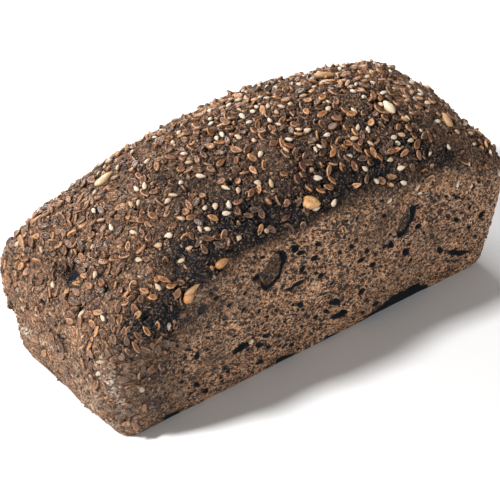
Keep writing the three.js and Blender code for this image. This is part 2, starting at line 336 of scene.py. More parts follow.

# %% [markdown]
# An oven burns what stands out: the shoulder just above that line, some places of it more than others. A
# band by height above the line gives the shoulder, balls round known places give the burnt patches, and
# lumps break both up. The near end of the dome has small ridges and valleys, and the valleys are painted
# dark in the same mask, partly as char and partly as the shade that falls in them. The front of the near
# corner is painted darker too, as shade.

# %% Char and painted shade
SCORCHED = [
    ((-86, -37, 45), 6, 0.8), ((-80, -37, 51), 8, 1), ((-74, -37, 51), 8, 0.95), ((-66, -38, 56), 8, 1),
    ((-56, -39, 61), 7, 1), ((-53, -31, 69), 9, 0.8), ((-45, -29, 72.5), 9, 1), ((-33, -36, 67), 8, 1),
    ((-17, -36, 69), 9, 1), ((5, -34, 72), 6.5, 0.45), ((26, -34, 71), 9, 0.75), ((42, -33, 71), 10, 1),
    ((55, -38, 63), 7, 0.9), ((27, -22, 80), 5, 0.6), ((-87, -8, 52), 5, 0.5),
]
NEAR_RIDGES = [
    ((-85.3, -2.6, 54.9), 4.5, -0.9), ((-80.5, -19.5, 59), 4, -1.1), ((-73, -21, 64.5), 4, -0.9),
    ((-85.5, -15.7, 53.7), 4.5, 1), ((-82.5, -26, 55.3), 4.5, 1), ((-77, -31.5, 57.5), 3.5, 0.7),
]

far_half = smooth(-50, 40, x)
band = smooth(-2 - 2 * far_half, 2.5 + 2 * far_half, above)
band = band * (1 - smooth(9 + far_half, 27 - 2 * far_half, above))
sides = facing["front"] + 0.8 * facing["back"] + 0.6 * facing["far"]
low_corner = smooth(-60, -72, x) * smooth(44, 32, z)
char_and_shade = (0.95 - 0.4 * far_half) * band * sides * smooth(80, 50, x) * (1 - 0.75 * low_corner)
for place, reach, strength in SCORCHED:
    ball = smooth(1.35 * reach, 0.4 * reach, distance_from(form, place))
    char_and_shade = np.maximum(char_and_shade, strength * ball * smooth(-3, 2, above))
char_and_shade = np.clip(char_and_shade * (1.1 + mixed_lumps(form, (0.4, 13, 13), (0.35, 5, 14))), 0, 1)
near_dome = smooth(-50, -75, x) * smooth(35, 48, z)
near_lumps = 0.6 * lumps(form, 8, 26)
for place, reach, height in NEAR_RIDGES:
    near_lumps = near_lumps + height * bell(form, place, reach)
# Painted shade with char: the valleys of the near dome are darkened, as char and as the shade in them.
valleys = 0.65 * near_dome * smooth(0.25, 0.8, -near_lumps)
# Painted shade: the front of the near corner is darkened, as the side turned from the light.
corner = 0.4 * facing["front"] * smooth(-58, -70, x) * smooth(58, 46, z)
char_and_shade = np.maximum.reduce([char_and_shade, valleys, corner * (1 + 0.5 * near_lumps)])
print("charred share of the grid", (char_and_shade > 0.5).mean().round(3))

# %% [markdown]
# Not all of the seeded skin browned. It stayed doughy and tan low on the near end, where the tin still held
# it, and in smears where it was pulled thin. Along the crest and at the far end of the dome the same pale
# mask is partly dough and partly a painted highlight, standing in for light from behind. A smear also
# covers some of the char.

# %% Dough and painted highlight
SMEARED = [
    ((-73, -11, 67), 6, 0.6), ((-85, -18, 54), 6, 0.4), ((-82, -26, 55.5), 5, 0.4),
    ((-52, -15, 75.5), 8, 0.8), ((-36, -3, 82), 9, 0.5), ((60, -15, 75), 9, 0.5), ((-78, 19, 62), 8, 0.6),
    ((-85, 26, 53), 8, 0.5), ((-62, -13, 72.7), 6, 0.5), ((6, 4, 84.7), 8, 0.6), ((54, -2, 79), 7, 0.4),
    ((71, -16, 70), 7, 0.5),
]

# Painted highlight with dough: the crest and far end of the dome are made paler, standing in for light from
# behind.
far_dome = smooth(42, 66, x) * smooth(53, 63, z)
crest = smooth(-4, 10, y) * smooth(55, 65, z)
near_back = smooth(-72, -84, x) * smooth(0, 12, y)
dough_and_highlight = 0.5 * smooth(-10, -80, x) + 0.6 * facing["near"] * smooth(58, 40, z) + 0.3 * lumps(form, 11, 15)
dough_and_highlight = dough_and_highlight + 0.75 * crest + 0.7 * far_dome + 0.4 * near_back + 0.2 * near_dome
for place, reach, strength in SMEARED:
    smear = strength * bell(form, place, reach)
    dough_and_highlight = dough_and_highlight + smear
    char_and_shade = char_and_shade * (1 - 0.6 * smear)
dough_and_highlight = np.clip(dough_and_highlight, 0, 1)
print("doughy share of the grid", (dough_and_highlight > 0.5).mean().round(3))

# %% [markdown]
# The open crumb of the walls has lumps of three sizes, then round pits of two sizes. The pits are looked up
# at warped places that are squeezed along a slope, which draws the circles out of round the way gas bubbles
# are drawn out in dough that rises against a tin. The dome has pits of its own, and larger pockets at its
# near end and along the crest. One field, in millimetres inside a hole, is kept for the material, which
# paints the holes dark with it as the shade inside them: between vertices it runs evenly, so a shader can
# cut a crisper edge from it than from a mask of zeros and ones.

# %% Relief of walls and dome
PIT_SLOPE = 35
WALL_PITS = dict(spacing=4.6, small=0.5, large=1.4, share=0.16, salt=31)
FINE_PITS = dict(spacing=2.2, small=0.35, large=0.8, share=0.6, salt=41)
DOME_PITS = dict(spacing=3.4, small=0.4, large=1.3, share=0.38, salt=51)
POCKETS = dict(spacing=6, small=0.5, large=1.8, share=0.8, salt=91)
SHUT = 3

crumb = 1 - seeded
rough = mixed_lumps(form, (0.34, 6, 21), (0.28, 2.6, 22), (0.2, 1.3, 23))
skin_rough = mixed_lumps(form, (0.5, 3.7, 24), (0.4, 1.9, 25))
warped = form + 0.6 * warp
slope = math.radians(PIT_SLOPE)
down = (warped * (math.cos(slope), 0, -math.sin(slope))).sum(-1)
across = (warped * (math.sin(slope), 0, math.cos(slope))).sum(-1)
drawn_out = np.stack([down * 0.7, y * 0.95, across * 1.15], -1)
pits = bubbles(drawn_out, **WALL_PITS) - SHUT * seeded
fine_pits = bubbles(drawn_out, **FINE_PITS) - SHUT * seeded
dome_pits = bubbles(warped, **DOME_PITS) - SHUT * crumb
pocket_share = np.maximum(near_dome, 0.8 * crest * seeded)
pockets = bubbles(form + 1.3 * warp, **POCKETS) - SHUT * (1 - pocket_share)
relief = rough + 0.8 * seeded * skin_rough + 1.5 * near_dome * near_lumps
lips_and_depths = ((pits, 0.8, 1.4), (fine_pits, 0.5, 0.7), (dome_pits, 0.8, 1.2), (pockets, 0.9, 1.6))
for field, lip, depth in lips_and_depths:
    relief = relief - depth * smooth(0, lip, field)
hole = np.maximum.reduce([pits, fine_pits, dome_pits, pockets])
print("pitted share of the grid", (hole > 0).mean().round(3))

# %% [markdown]
# The larger holes sit at known places. Each is an ellipse on the front wall, given by its middle, length,
# height and turn, and wider ones are deeper. Inside it the crust sinks with a steep lip, which a smoothstep
# of the distance from the rim gives without any cutting.

# %% Holes, slits and tears of the front wall
FRONT_HOLES = [
    (-39, 22.4, 7.2, 4, 8), (66.5, 15.6, 15, 2.6, -28), (9.2, 12.3, 6.4, 3.8, 5),
    (38, 29.1, 4.7, 2.9, -53), (5, 21, 5.8, 2.6, -16), (29.8, 36.6, 4.6, 2.4, -57),
    (-33.4, 51.3, 3.6, 2.5, 0), (-16.1, 55, 3, 2.6, -22), (-57.6, 27.9, 3.8, 2.4, -82),
    (74.5, 30.6, 3.6, 3.1, -53), (55.3, 22.3, 4.7, 2.2, -62), (-27.5, 8.1, 4.2, 2.8, -18),
    (21.6, 30.8, 4.1, 2.2, -36), (17.5, 19.9, 3.3, 2.8, -56), (-30.1, 19, 4.3, 1.9, -35),
    (-13.4, 52.4, 3.4, 1.8, -14), (-12.5, 45.3, 3, 2, 41), (15.4, 36.4, 3.2, 2.3, 6),
    (-7.6, 47.7, 3.1, 2.1, -37), (-12.3, 8.4, 3.5, 2.1, -31), (-56.4, 13, 3.6, 1.8, -50),
    (17.2, 39.7, 3.2, 1.9, -57), (-4.1, 38.3, 2.7, 2.1, -32), (-16.2, 39.8, 10, 1.7, 1),
    (68, 46.7, 2.8, 1.9, -68), (-2.5, 16.4, 3, 2.1, -39), (-11.7, 27.8, 3.9, 1.8, -41),
    (-51.9, 7.7, 3.2, 1.9, -37), (2, 17.5, 3.4, 1.7, -42), (-38.9, 39.6, 2.4, 1.8, 35),
    (8.7, 46.1, 3.2, 1.7, -49), (-42.6, 12, 2.8, 1.9, -67), (66.8, 37.9, 2.8, 1.9, -73),
    (42.7, 39.1, 3, 2.2, -30), (26.6, 37, 2.6, 1.8, -20), (-28.2, 22.6, 3.6, 1.6, -34),
    (60.8, 34.7, 2.5, 1.8, -48), (-25.4, 14.8, 2.9, 1.7, -40), (-50.6, 50.6, 2.4, 1.7, -11),
    (24.8, 51.6, 2.9, 1.5, -32),
]
HOLE_LIP = 0.7


def wall_ellipse(across, height, middle_x, middle_z, length, tall, turn):
    """Place within an ellipse on a wall: distance from its middle as a share of its radius, millimetres
    inside it by its shorter half, and how far up across its length."""
    c, s = math.cos(math.radians(turn)), math.sin(math.radians(turn))
    along = (across - middle_x) * c + (height - middle_z) * s
    upward = (height - middle_z) * c - (across - middle_x) * s
    radius = np.hypot(along / (length / 2), upward / (tall / 2))
    return radius, (1 - radius) * min(length, tall) / 2, upward


front = smooth(0.5, 0.9, facing["front"]) * (z < line + 4)
wobble_x = x + 0.4 * warp[..., 0]
wobble_z = z + 0.4 * warp[..., 2]
for middle_x, middle_z, length, tall, turn in FRONT_HOLES:
    _, inside, _ = wall_ellipse(wobble_x, wobble_z, middle_x, middle_z, length, tall, turn)
    inside = np.where(front > 0.5, inside, OUTSIDE)
    bowl = smooth(0.05, HOLE_LIP, inside)
    relief = relief * (1 - bowl) - (0.8 + 0.4 * tall) * bowl
    hole = np.maximum(hole, inside)
print("front holes", len(FRONT_HOLES))

# %% [markdown]
# Two burst bubbles are larger than the rest: leaf-shaped hollows whose floor is a flap of crumb that rises
# towards a deep crevice under the right lip. The same ellipse gives both. The floor sinks inside it, and
# the crevice follows its rim, widest on the right-hand side.

# %% The hollows
HOLLOWS = [
    (dict(middle_x=-25.8, middle_z=50.6, length=15.6, tall=9.6, turn=55), 0.85),
    (dict(middle_x=36.4, middle_z=43.6, length=13, tall=6.4, turn=62), 0.75),
]
HOLLOW_DEPTH = 1.3
CREVICE_DEPTH = 2.0
CREVICE_RING = 0.88
CREVICE_THIN = 0.42

soot = np.zeros_like(z)
for place, crevice_half in HOLLOWS:
    radius, inside, upward = wall_ellipse(wobble_x, wobble_z, **place)
    half = place["tall"] / 2
    hollow = smooth(0, 0.9, inside) * front
    right = smooth(0.6, -1, upward / half)
    relief = relief * (1 - 0.5 * hollow) - hollow * HOLLOW_DEPTH * (1 - 0.5 * right)
    right_side = smooth(0.05, 0.5, -upward / np.maximum(radius * half, 0.1))
    crevice_half = crevice_half * (0.4 + 0.6 * smooth(-4, 4, z - place["middle_z"]))
    from_ring = np.abs(radius - CREVICE_RING) * half
    crevice = crevice_half - from_ring - (crevice_half - CREVICE_THIN) * (1 - right_side)
    relief = relief - CREVICE_DEPTH * smooth(0, 0.7, crevice) * front
    # Painted shade: the crevice is marked as a hole, so the material paints it dark.
    hole = np.maximum(np.where(hollow > 0.2, hole - 0.6, hole), np.where(front > 0.5, crevice, OUTSIDE))
    soot = np.maximum(soot, 0.88 * hollow)
print("hollows", len(HOLLOWS))

# %% [markdown]
# Low on the wall the dough didn't reach the tin's corner, so the foot of the loaf is undercut there, by the
# ellipse test once more. At the near end the dough folded over itself: a sloping groove, with a swollen lip
# under it. Soot darkens the front wall in soft patches, and just under the seeds of its far half.

# %% Undercuts, the fold and soot
UNDERCUTS = [
    (41, 0.5, 36, 13, -2, 4.2),
    (-13.5, 0, 11, 6, 0, 2.2),
    (-66, 0, 9, 4, 0, 1.2),
    (8, 0, 12, 3.5, 0, 1),
]
FOLD_HEIGHT = 24.6
FOLD_SLOPE = 0.26
FOLD_DEPTH = 3.4
LIP_HEIGHT = 1.2
SOOT = [
    (24, 48, 9, 0.7), (10, 52, 6, 0.4), (-69, 15, 13, 0.55), (-51, 23, 12, 0.5), (-58, 51, 14, 0.9),
    (-40, 45, 9, 0.35), (52, 30, 8, 0.3), (40, 12, 12, 0.3),
]

for *ellipse, depth in UNDERCUTS:
    _, inside, _ = wall_ellipse(wobble_x, wobble_z, *ellipse)
    inside = np.where(facing["front"] > 0.6, inside + warp[..., 1], OUTSIDE)
    relief = relief - depth * smooth(0, ellipse[3] / 4, inside)
    # Painted shadow: the undercut is marked as a hole, so the material paints it dark.
    hole = np.maximum(hole, inside - 0.4)
over_fold = z - FOLD_HEIGHT + FOLD_SLOPE * (y - 13) + 0.7 * lumps(form, 5, 63)
fold_share = smooth(0.4, 0.8, facing["near"])
relief = relief - FOLD_DEPTH * np.exp(-(((over_fold - 1.1) / 1.9) ** 2)) * fold_share * smooth(-6, 16, y)
swollen = LIP_HEIGHT * smooth(-0.8, -2.4, over_fold) * smooth(-15, -7, over_fold)
relief = relief + swollen * fold_share * smooth(2, 18, y)
patchy = lumps(form, 4, 62)
for middle_x, middle_z, reach, strength in SOOT:
    patch = strength * np.exp(-(((x - middle_x) / reach) ** 2) - ((z - middle_z) / reach) ** 2)
    soot = np.maximum(soot, patch * facing["front"] * (1 + 0.6 * patchy))
under_seeds = 0.5 * smooth(-11, 0, above) * front * smooth(0, 30, x)
soot = np.maximum(soot, under_seeds * (1 + 0.5 * patchy))
print("undercuts", len(UNDERCUTS), "and soot patches", len(SOOT))

# %% [markdown]
# Three dimples in the near end of the dome, and a dusting of flour low on its front corner. A dusting has
# no height, so it is only kept as a mask. The lip under the fold is pale, so it is dusted too. The foot of
# every wall also wavers a little, because dough never fills the corner of a tin evenly.

# %% Dimples, flour and the foot
DIMPLES = [
    ((-84.9, -2.1, 55.4), 5.5, 2.4), ((-78, -4.4, 62.9), 1.8, 2.2), ((-88.4, -13.9, 50.4), 1.9, 2.4),
]
FLOUR = [
    ((-92.7, -32, 36), 2.6, 0.6), ((-91.9, -33.4, 31.2), 2.7, 1.45), ((-91.3, -33.4, 27), 3, 1.5),
    ((-89.8, -33.8, 21.7), 2.8, 1.5), ((-87.5, -33.5, 15), 2.6, 1.1), ((-85, -34, 9), 3, 1.5),
    ((-90, -24, 17), 12, 0.4), ((-90.5, -28.5, 18), 6, 0.8), ((-87.5, -30, 9), 5, 0.8),
    ((-7, -38.8, 36.4), 1.1, 1), ((-6, -37.7, 29.1), 1.2, 1),
]

for place, reach, depth in DIMPLES:
    relief = relief - depth * bell(form, place, reach)
    # Painted shade: each dimple's middle is marked as a hole, so the material paints it dark.
    hole = np.maximum(hole, 0.3 * reach - distance_from(form, place))
flour = np.zeros_like(z)
for place, reach, strength in FLOUR:
    flour = np.maximum(flour, strength * bell(form, place, reach))
lip = np.exp(-(((over_fold + 1.5) / 0.9) ** 2)) * fold_share * smooth(-34, 16, y)
flour = np.maximum(flour, 1.2 * lip * smooth(-0.5, 0.5, lumps(form, 4, 64) + 0.6 * smooth(4, 14, y)))
foot = np.exp(-((z / 4) ** 2))
relief = relief - foot * (0.5 + mixed_lumps(form, (0.5, 8, 61), (0.4, 3.5, 65))) * 1.5
relief = relief * smooth(0, 1.5, z)
print("relief from", relief.min().round(2), "to", relief.max().round(2), "mm")

# %% [markdown]
# Where do seeds lie? Thickly on the free skin and in drifts, thinly on charred places, low on the near end
# and at the far end, with a few strays on the wall just below the line. All of that is a product of masks.
# Times the area of each cell of the grid, it is the chance that a seed falls there.

# %% Where seeds like to lie
crust_points = form + normals * relief[..., None]
cell_corner = crust_points[:-1]
cell_up = crust_points[1:] - cell_corner
cell_around = np.roll(cell_corner, -1, 1) - cell_corner
cell_area = np.linalg.norm(np.cross(cell_around, cell_up), axis=-1)
cluster = smooth(-0.7, 0.7, mixed_lumps(form, (1, 15, 71), (0.9, 6, 72)))
low_end = smooth(0, 26, z) * 0.5 + 0.5 * smooth(20, 45, z)
low_near = facing["near"] * smooth(56, 44, z)
far_end = smooth(40, 68, x)
bare = (1 - 0.65 * char_and_shade) * (1 - 0.85 * low_near) * (1 - 0.65 * far_end) * smooth(0, 5, above)
bare = bare * (1 + 0.15 * near_dome + 0.5 * crest)
stray = front * smooth(5, 30, x) * smooth(-13, -7, above) * (1 - seeded)
liking = (seeded * (0.28 + 0.72 * cluster) * low_end * bare + 0.1 * stray)[:-1] * cell_area
smooth_normals = grid_normals(form + normals * (0.32 * lumps(form, 6, 21))[..., None])
flat_points = crust_points[:-1].reshape(-1, 3)
flat_normals = smooth_normals[:-1].reshape(-1, 3)
print("crust of", round(cell_area.sum() / 100), "square centimetres")

# %% [markdown]
# Seeds could be scattered by a particle system, but those don't survive an export. Here each place is drawn
# on the crust's own grid and kept only if it is far enough from the seeds that already lie there. The draw
# is seeded, so every run sprinkles the same loaf. About one seed in five is sesame, with more on the far
# half. The sunflower kernels have known places, headings, lengths, widths, tones and coats, so they come
# first.

# %% Drawing the places
random = np.random.default_rng(12)
KERNELS = [
    ((-7.3, -36.5, 69.3), -26, 7.2, 4.8, 0.45, 0.1),
    ((43.1, -18.4, 78.7), 79, 7.0, 3.6, 1.4, 0.1),
    ((-57.7, 13.8, 73.3), -10, 8.0, 3.4, 0.9, 0.2),
    ((-62.2, -39.3, 56.5), 40, 4.4, 3.4, 0.15, 0.2),
    ((-60.4, -39, 58.6), 18, 6.8, 1.8, 0.5, 0.6),
    ((-47.9, -39.1, 63.7), 16, 5.4, 2.7, 0, 0.35),
    ((38, 10.6, 80.9), -50, 8.0, 3.2, 0.4, 0.5),
    ((66.7, -25, 68.2), 85, 6.8, 3.2, 0.6, 0.5),
    ((20, 33, 72), 15, 8, 4, 0.5, 0.3),
    ((-35, 36, 62), 70, 8, 3.8, 0.4, 0.3),
    ((84, 6, 58), 40, 7.6, 3.8, 0.8, 0.3),
]
SEED_DRAWS = 9000
SEED_SPACING = 2.3
SEED_LIMIT = 1120
SESAME_SHARE = 0.23
FULL_TURN = 2 * np.pi


def draw_places(count, weight):
    """Flat indices of grid cells, drawn with the given weights."""
    chance = weight.ravel() / weight.sum()
    return random.choice(chance.size, size=count, p=chance)


def spread_out(cells, taken, spacing, limit):
    """The drawn cells that keep their distance from all that were taken before them."""
    kept = []
    for cell in cells:
        place = flat_points[cell]
        if np.linalg.norm(np.array(taken) - place, axis=-1).min() < spacing:
            continue
        taken.append(place)
        kept.append(cell)
        if len(kept) == limit:
            break
    return np.array(kept)


taken = [np.array(kernel[0]) for kernel in KERNELS]
drawn = spread_out(draw_places(SEED_DRAWS, liking), taken, SEED_SPACING, SEED_LIMIT)
drawn_x = flat_points[drawn, 0]
sesame_liking = 0.3 + 0.8 * smooth(-80, -50, drawn_x) + 0.35 * smooth(-10, 30, drawn_x)
drawn_sesame = random.random(len(drawn)) < SESAME_SHARE * sesame_liking
drawn_heading = random.uniform(0, FULL_TURN, len(drawn))
print("seeds drawn", len(drawn))

# %% [markdown]
# Some seeds don't follow that chance: a strip of them down the near corner, one loose grain low on the
# front, and those that the tin pressed into the skin beside the corner. The strip and the grain take the
# nearest cells to known places, and the pressed ones are drawn within their own small area.

# %% The strip, the loose grain and the pressed seeds
STRIP_START = np.array([-93.2, -30.8, 29.0])
STRIP_END = np.array([-83.1, -33.8, 6.5])
STRIP_SEEDS = 22
LOOSE_GRAIN = np.array([[-35.2, -38.1, 24.0]])
PRESSED_DRAWS = 1200
PRESSED_SPACING = 2.7
PRESSED_LIMIT = 70


def nearest_cells(places):
    """The grid cell that is nearest to each place."""
    return np.array([int(np.argmin(distance_from(flat_points, place))) for place in places])


strip = STRIP_START + (STRIP_END - STRIP_START) * np.linspace(0, 1, STRIP_SEEDS)[:, None]
strip = strip + random.uniform(-1.5, 1.5, (STRIP_SEEDS, 3))
placed = nearest_cells(np.concatenate([LOOSE_GRAIN, strip]))
placed_heading = np.radians(random.uniform(60, 110, len(placed)))
pressed = facing["near"] * smooth(-26, -34, y) + facing["front"] * smooth(-52, -66, x)
pressed = pressed * smooth(52, 40, z) * smooth(0, 4, above)
pressed_cells = draw_places(PRESSED_DRAWS, (pressed * seeded * smooth(3, 8, z))[:-1] * cell_area)
pressed_cells = spread_out(pressed_cells, taken, PRESSED_SPACING, PRESSED_LIMIT)
pressed_heading = random.uniform(0, FULL_TURN, len(pressed_cells))
seed_cells = np.concatenate([drawn, placed, pressed_cells])
seed_heading = np.concatenate([drawn_heading, placed_heading, pressed_heading])
every_fourth = np.arange(len(placed)) % 4 == 0
every_fourteenth = np.arange(len(pressed_cells)) % 14 == 0
is_sesame = np.concatenate([drawn_sesame, every_fourth, every_fourteenth])
print("seeds:", (~is_sesame).sum(), "flax and", is_sesame.sum(), "sesame")

# %% [markdown]
# Seeds press into soft dough. Round each of them the skin sinks along its edge, and the groove is painted
# darker than the rest, partly as burnt skin and partly as the shade that falls in it. For every seed a small
# window of the grid is looked at, all windows at once, and the deepest groove counts where two of them
# overlap. Under a seed the skin also sinks out of the way, so that no bump of it comes through, apart from
# doughy and pressed places, where seeds are half buried.


# %% Grooves round the seeds
FLAX_SIZE = np.array([4.0, 2.15, 1.25])
SESAME_SIZE = np.array([3.1, 1.75, 1.15])
GROOVE_WINDOW = 8
GROOVE_DEPTH = 0.6


def unit(vectors):
    """Vectors of length one."""
    return vectors / np.linalg.norm(vectors, axis=-1, keepdims=True)


def turn_about(vectors, axis, angle):
    """Vectors turned about unit axes that are at right angles to them."""
    return vectors * np.cos(angle)[:, None] + np.cross(axis, vectors) * np.sin(angle)[:, None]


def seed_axes(up, heading):
    """Directions along and across a seed that lies flat: the X axis, laid on the surface and turned."""
    along = turn_about(unit(np.cross(np.cross(up, np.array([1.0, 0.02, 0.01])), up)), up, heading)
    return along, np.cross(up, along)


def grooves(cells, heading, size):
    """Two arrays of the grid: a mask that is 1 along the edges of the seeds, by a bell of the distance in
    seed radii, and how far the skin has to sink so that it stays under each seed's middle."""
    row, around = np.divmod(cells, COLUMNS)
    step = np.arange(-GROOVE_WINDOW, GROOVE_WINDOW + 1)
    rows = np.clip(row[:, None, None] + step[:, None], 0, len(form) - 2)
    columns = (around[:, None, None] + step) % COLUMNS
    offset = crust_points[rows, columns] - flat_points[cells][:, None, None]
    along, across = (axis[:, None, None] for axis in seed_axes(flat_normals[cells], heading))
    half_length, half_width = (size[:, axis, None, None] / 2 for axis in (0, 1))
    distance = np.hypot((offset * along).sum(-1) / half_length, (offset * across).sum(-1) / half_width)
    height = (offset * flat_normals[cells][:, None, None]).sum(-1)
    mask, cleared = np.zeros((2, *z.shape))
    np.maximum.at(mask, (rows, columns), np.exp(-(((distance - 1.1) / 0.45) ** 2)))
    np.maximum.at(cleared, (rows, columns), np.where(distance < 1, np.clip(height + 0.1, 0, 1.5), 0))
    return mask, cleared


seed_size = np.where(is_sesame[:, None], SESAME_SIZE, FLAX_SIZE)
groove, cleared = grooves(seed_cells, seed_heading, seed_size)
groove = groove * seeded * (1 - 0.3 * pressed)
relief = relief - np.maximum(GROOVE_DEPTH * groove, cleared * (1 - np.maximum(dough_and_highlight, pressed)))
# Painted shade with char: the groove round each seed is darkened, as burnt skin and as the shade in it.
char_and_shade = np.maximum(char_and_shade, 0.8 * groove * (1 - 0.35 * dough_and_highlight))
print("grooved share of the grid", (groove > 0.5).mean().round(3))

# %% [markdown]
# A mesh is filled straight from arrays: foreach_set copies all places, corners and faces in a few calls,
# which is far quicker than adding vertices one by one. Masks travel with the vertices as named attributes,
# and the materials read them back by name.


# %% Meshes from arrays
def mesh_object(name, points, faces_by_size, masks, vertex_normals=None):
    """A mesh from points in millimetres, arrays of faces with equal corner counts, and masks per vertex."""
    mesh = bpy.data.meshes.new(name)
    corners = np.concatenate([faces.ravel() for faces in faces_by_size])
    sizes = np.concatenate([np.full(len(faces), faces.shape[1]) for faces in faces_by_size])
    mesh.vertices.add(len(points))
    mesh.vertices.foreach_set("co", (points * MM).astype(np.float32).ravel())
    mesh.loops.add(len(corners))
    mesh.loops.foreach_set("vertex_index", corners.astype(np.int32))
    mesh.polygons.add(len(sizes))
    mesh.polygons.foreach_set("loop_start", (np.cumsum(sizes) - sizes).astype(np.int32))
    mesh.polygons.foreach_set("use_smooth", np.ones(len(sizes), bool))
    mesh.update(calc_edges=True)
    for mask, values in masks.items():
        attribute = mesh.attributes.new(mask, "FLOAT", "POINT")
        attribute.data.foreach_set("value", values.astype(np.float32).ravel())
    if vertex_normals is not None:
        mesh.normals_split_custom_set_from_vertices(vertex_normals)
    piece = bpy.data.objects.new(name, mesh)
    bpy.context.scene.collection.objects.link(piece)
    return piece


def triangle_count(piece):
    """Triangles of a piece: a face of n corners counts for n - 2."""
    return len(piece.data.loops) - 2 * len(piece.data.polygons)


def grid_faces(rows, columns):
    """Quads between neighbours of a grid that is closed round its columns."""
    row, column = np.meshgrid(np.arange(rows - 1) * columns, np.arange(columns), indexing="ij")
    after = (column + 1) % columns
    quads = np.stack([row + column, row + after, row + columns + after, row + columns + column], -1)
    return quads.reshape(-1, 4)


print("faces of the crust's grid", len(grid_faces(len(form), COLUMNS)))

# %% [markdown]
# Along the crest, front and back columns end in the same places, and all columns of an end meet in one. The
# last row therefore keeps one vertex for each place. Quads that lose a corner this way become triangles.

# %% Closing the crest
column = np.arange(COLUMNS)
crest_x = plan_outline(BASE, column_share)[0][:, 0]
keeper = np.minimum(column, -column % COLUMNS)
keeper = np.where(crest_x <= -CREST_HALF_LENGTH, 0, keeper)
keeper = np.where(crest_x >= CREST_HALF_LENGTH, COLUMNS // 2, keeper)
crest_columns, crest_number = np.unique(keeper, return_inverse=True)


def closed_top(rows):
    """Faces of a grid whose last row holds only the crest's own vertices: quads, then triangles."""
    start = (rows - 1) * COLUMNS
    quads = grid_faces(rows, COLUMNS)
    quads = np.where(quads >= start, start + crest_number[quads % COLUMNS], quads)
    pinched = quads[:, 2] == quads[:, 3]
    return quads[~pinched], quads[pinched][:, :3]


def flat_rows(values):
    """Values of a grid as one list, with the last row cut down to the crest's own vertices."""
    return np.concatenate([values[:-1].reshape(-1, *values.shape[2:]), values[-1][crest_columns]])


print("crest vertices", len(crest_columns), "for", COLUMNS, "columns")

# %% [markdown]
# The skin is made in two pieces that meet at the rim: the walls that the tin shaped, with the base, and the
# dome that rose above it. Two pieces keep each mesh light at a grid of half a millimetre. They share the
# rim's places and normals, so that no seam shows, and each is closed inside the loaf by a plain lid.

# %% The crust
LID_DEPTH = 3.0

crust_points = form + normals * relief[..., None]
crust_points[..., 2] = np.maximum(crust_points[..., 2], 0)
crust_points[0, :, 2] = 0
crust_normals = grid_normals(crust_points)
masks = dict(hole=hole, seeded=seeded, char_and_shade=char_and_shade, dough_and_highlight=dough_and_highlight, soot=soot, flour=flour)
rim_ring = crust_points[rim_row]
lid_line = np.concatenate([form[-1, :, :2], rim_ring[:, 2:] * 0 + rim_ring[:, 2].min() - LID_DEPTH], -1)
lid_points = flat_rows(np.stack([rim_ring, lid_line]))
lid_quads, lid_triangles = closed_top(2)


def skin_piece(name, points, skin_masks, skin_normals, skin_faces, lid_up):
    """A piece of skin with its lid, whose faces look up over the walls and down under the dome."""
    turn = slice(None) if lid_up else slice(None, None, -1)
    lid = [faces[:, turn] + len(points) for faces in (lid_quads, lid_triangles)]
    lid_normals = np.broadcast_to((0, 0, 1 if lid_up else -1), lid_points.shape)
    unmarked = np.zeros(len(lid_points))
    all_masks = {mask: np.concatenate([values, unmarked]) for mask, values in skin_masks.items()}
    all_normals = np.concatenate([skin_normals, lid_normals])
    places = np.concatenate([points, lid_points]) - middle
    return mesh_object(name, places, [*skin_faces, *lid], all_masks, all_normals)


wall_part = slice(0, rim_row + 1)
underside = column[::-1][None]
crust_walls = skin_piece(
    "crust_walls", crust_points[wall_part].reshape(-1, 3),
    {mask: values[wall_part].ravel() for mask, values in masks.items()},
    crust_normals[wall_part].reshape(-1, 3), [grid_faces(rim_row + 1, COLUMNS), underside], True,
)
dome_part = slice(rim_row, None)
crust_dome = skin_piece(
    "crust_dome", flat_rows(crust_points[dome_part]),
    {mask: flat_rows(values[dome_part]) for mask, values in masks.items()},
    flat_rows(crust_normals[dome_part]), closed_top(DOME_ROWS), False,
)
print("triangles: walls", triangle_count(crust_walls), "dome", triangle_count(crust_dome))

# %% [markdown]
# Every seed is the same kind of surface: rings round a middle, and a teardrop for an outline. The teardrop
# is a circle whose width is multiplied by a power of sin(angle / 2), which vanishes at the tip. A list of
# ring sizes and heights then makes it a flax seed with a raised rim and a dished face, or a plump sesame
# seed.


# %% A seed from rings
def seed_shape(sides, rings, tip, length, width, height):
    """Points, faces, rim mask and crown mask of one seed, along X with its tip at +X. The first and last
    ring are single points. The others, of size r at height h, go through the places r cos(a),
    r sin(a) sin(a / 2)^tip, h."""
    angle = np.arange(sides) / sides * 2 * np.pi
    outline_y = np.sin(angle) * np.sin(angle / 2) ** tip
    outline = np.stack([np.cos(angle), outline_y / np.abs(outline_y).max()], -1)
    size, level = np.array(rings).T
    flat = size[1:-1, None, None] * outline
    body = np.concatenate([flat, np.broadcast_to(level[1:-1, None, None], flat.shape[:2] + (1,))], -1)
    poles = np.array([[0, 0, level[0]], [0, 0, level[-1]]])
    points = np.concatenate([poles[:1], body.reshape(-1, 3), poles[1:]])
    points = points * np.array([length, width, height]) / 2
    count = len(rings) - 2
    around = np.arange(sides)
    after = (around + 1) % sides
    first = np.stack([0 * around, 1 + around, 1 + after], -1)
    start = 1 + (count - 1) * sides
    last = np.stack([0 * around + len(points) - 1, start + after, start + around], -1)
    quads = grid_faces(count, sides)[:, ::-1] + 1
    rim = np.concatenate([[0], np.repeat(size[1:-1], sides), [0]])
    crown = np.where(points[:, 2] > 0, 1 - rim**2, 0) * height / 2
    return points, quads, np.concatenate([first, last]), rim, crown


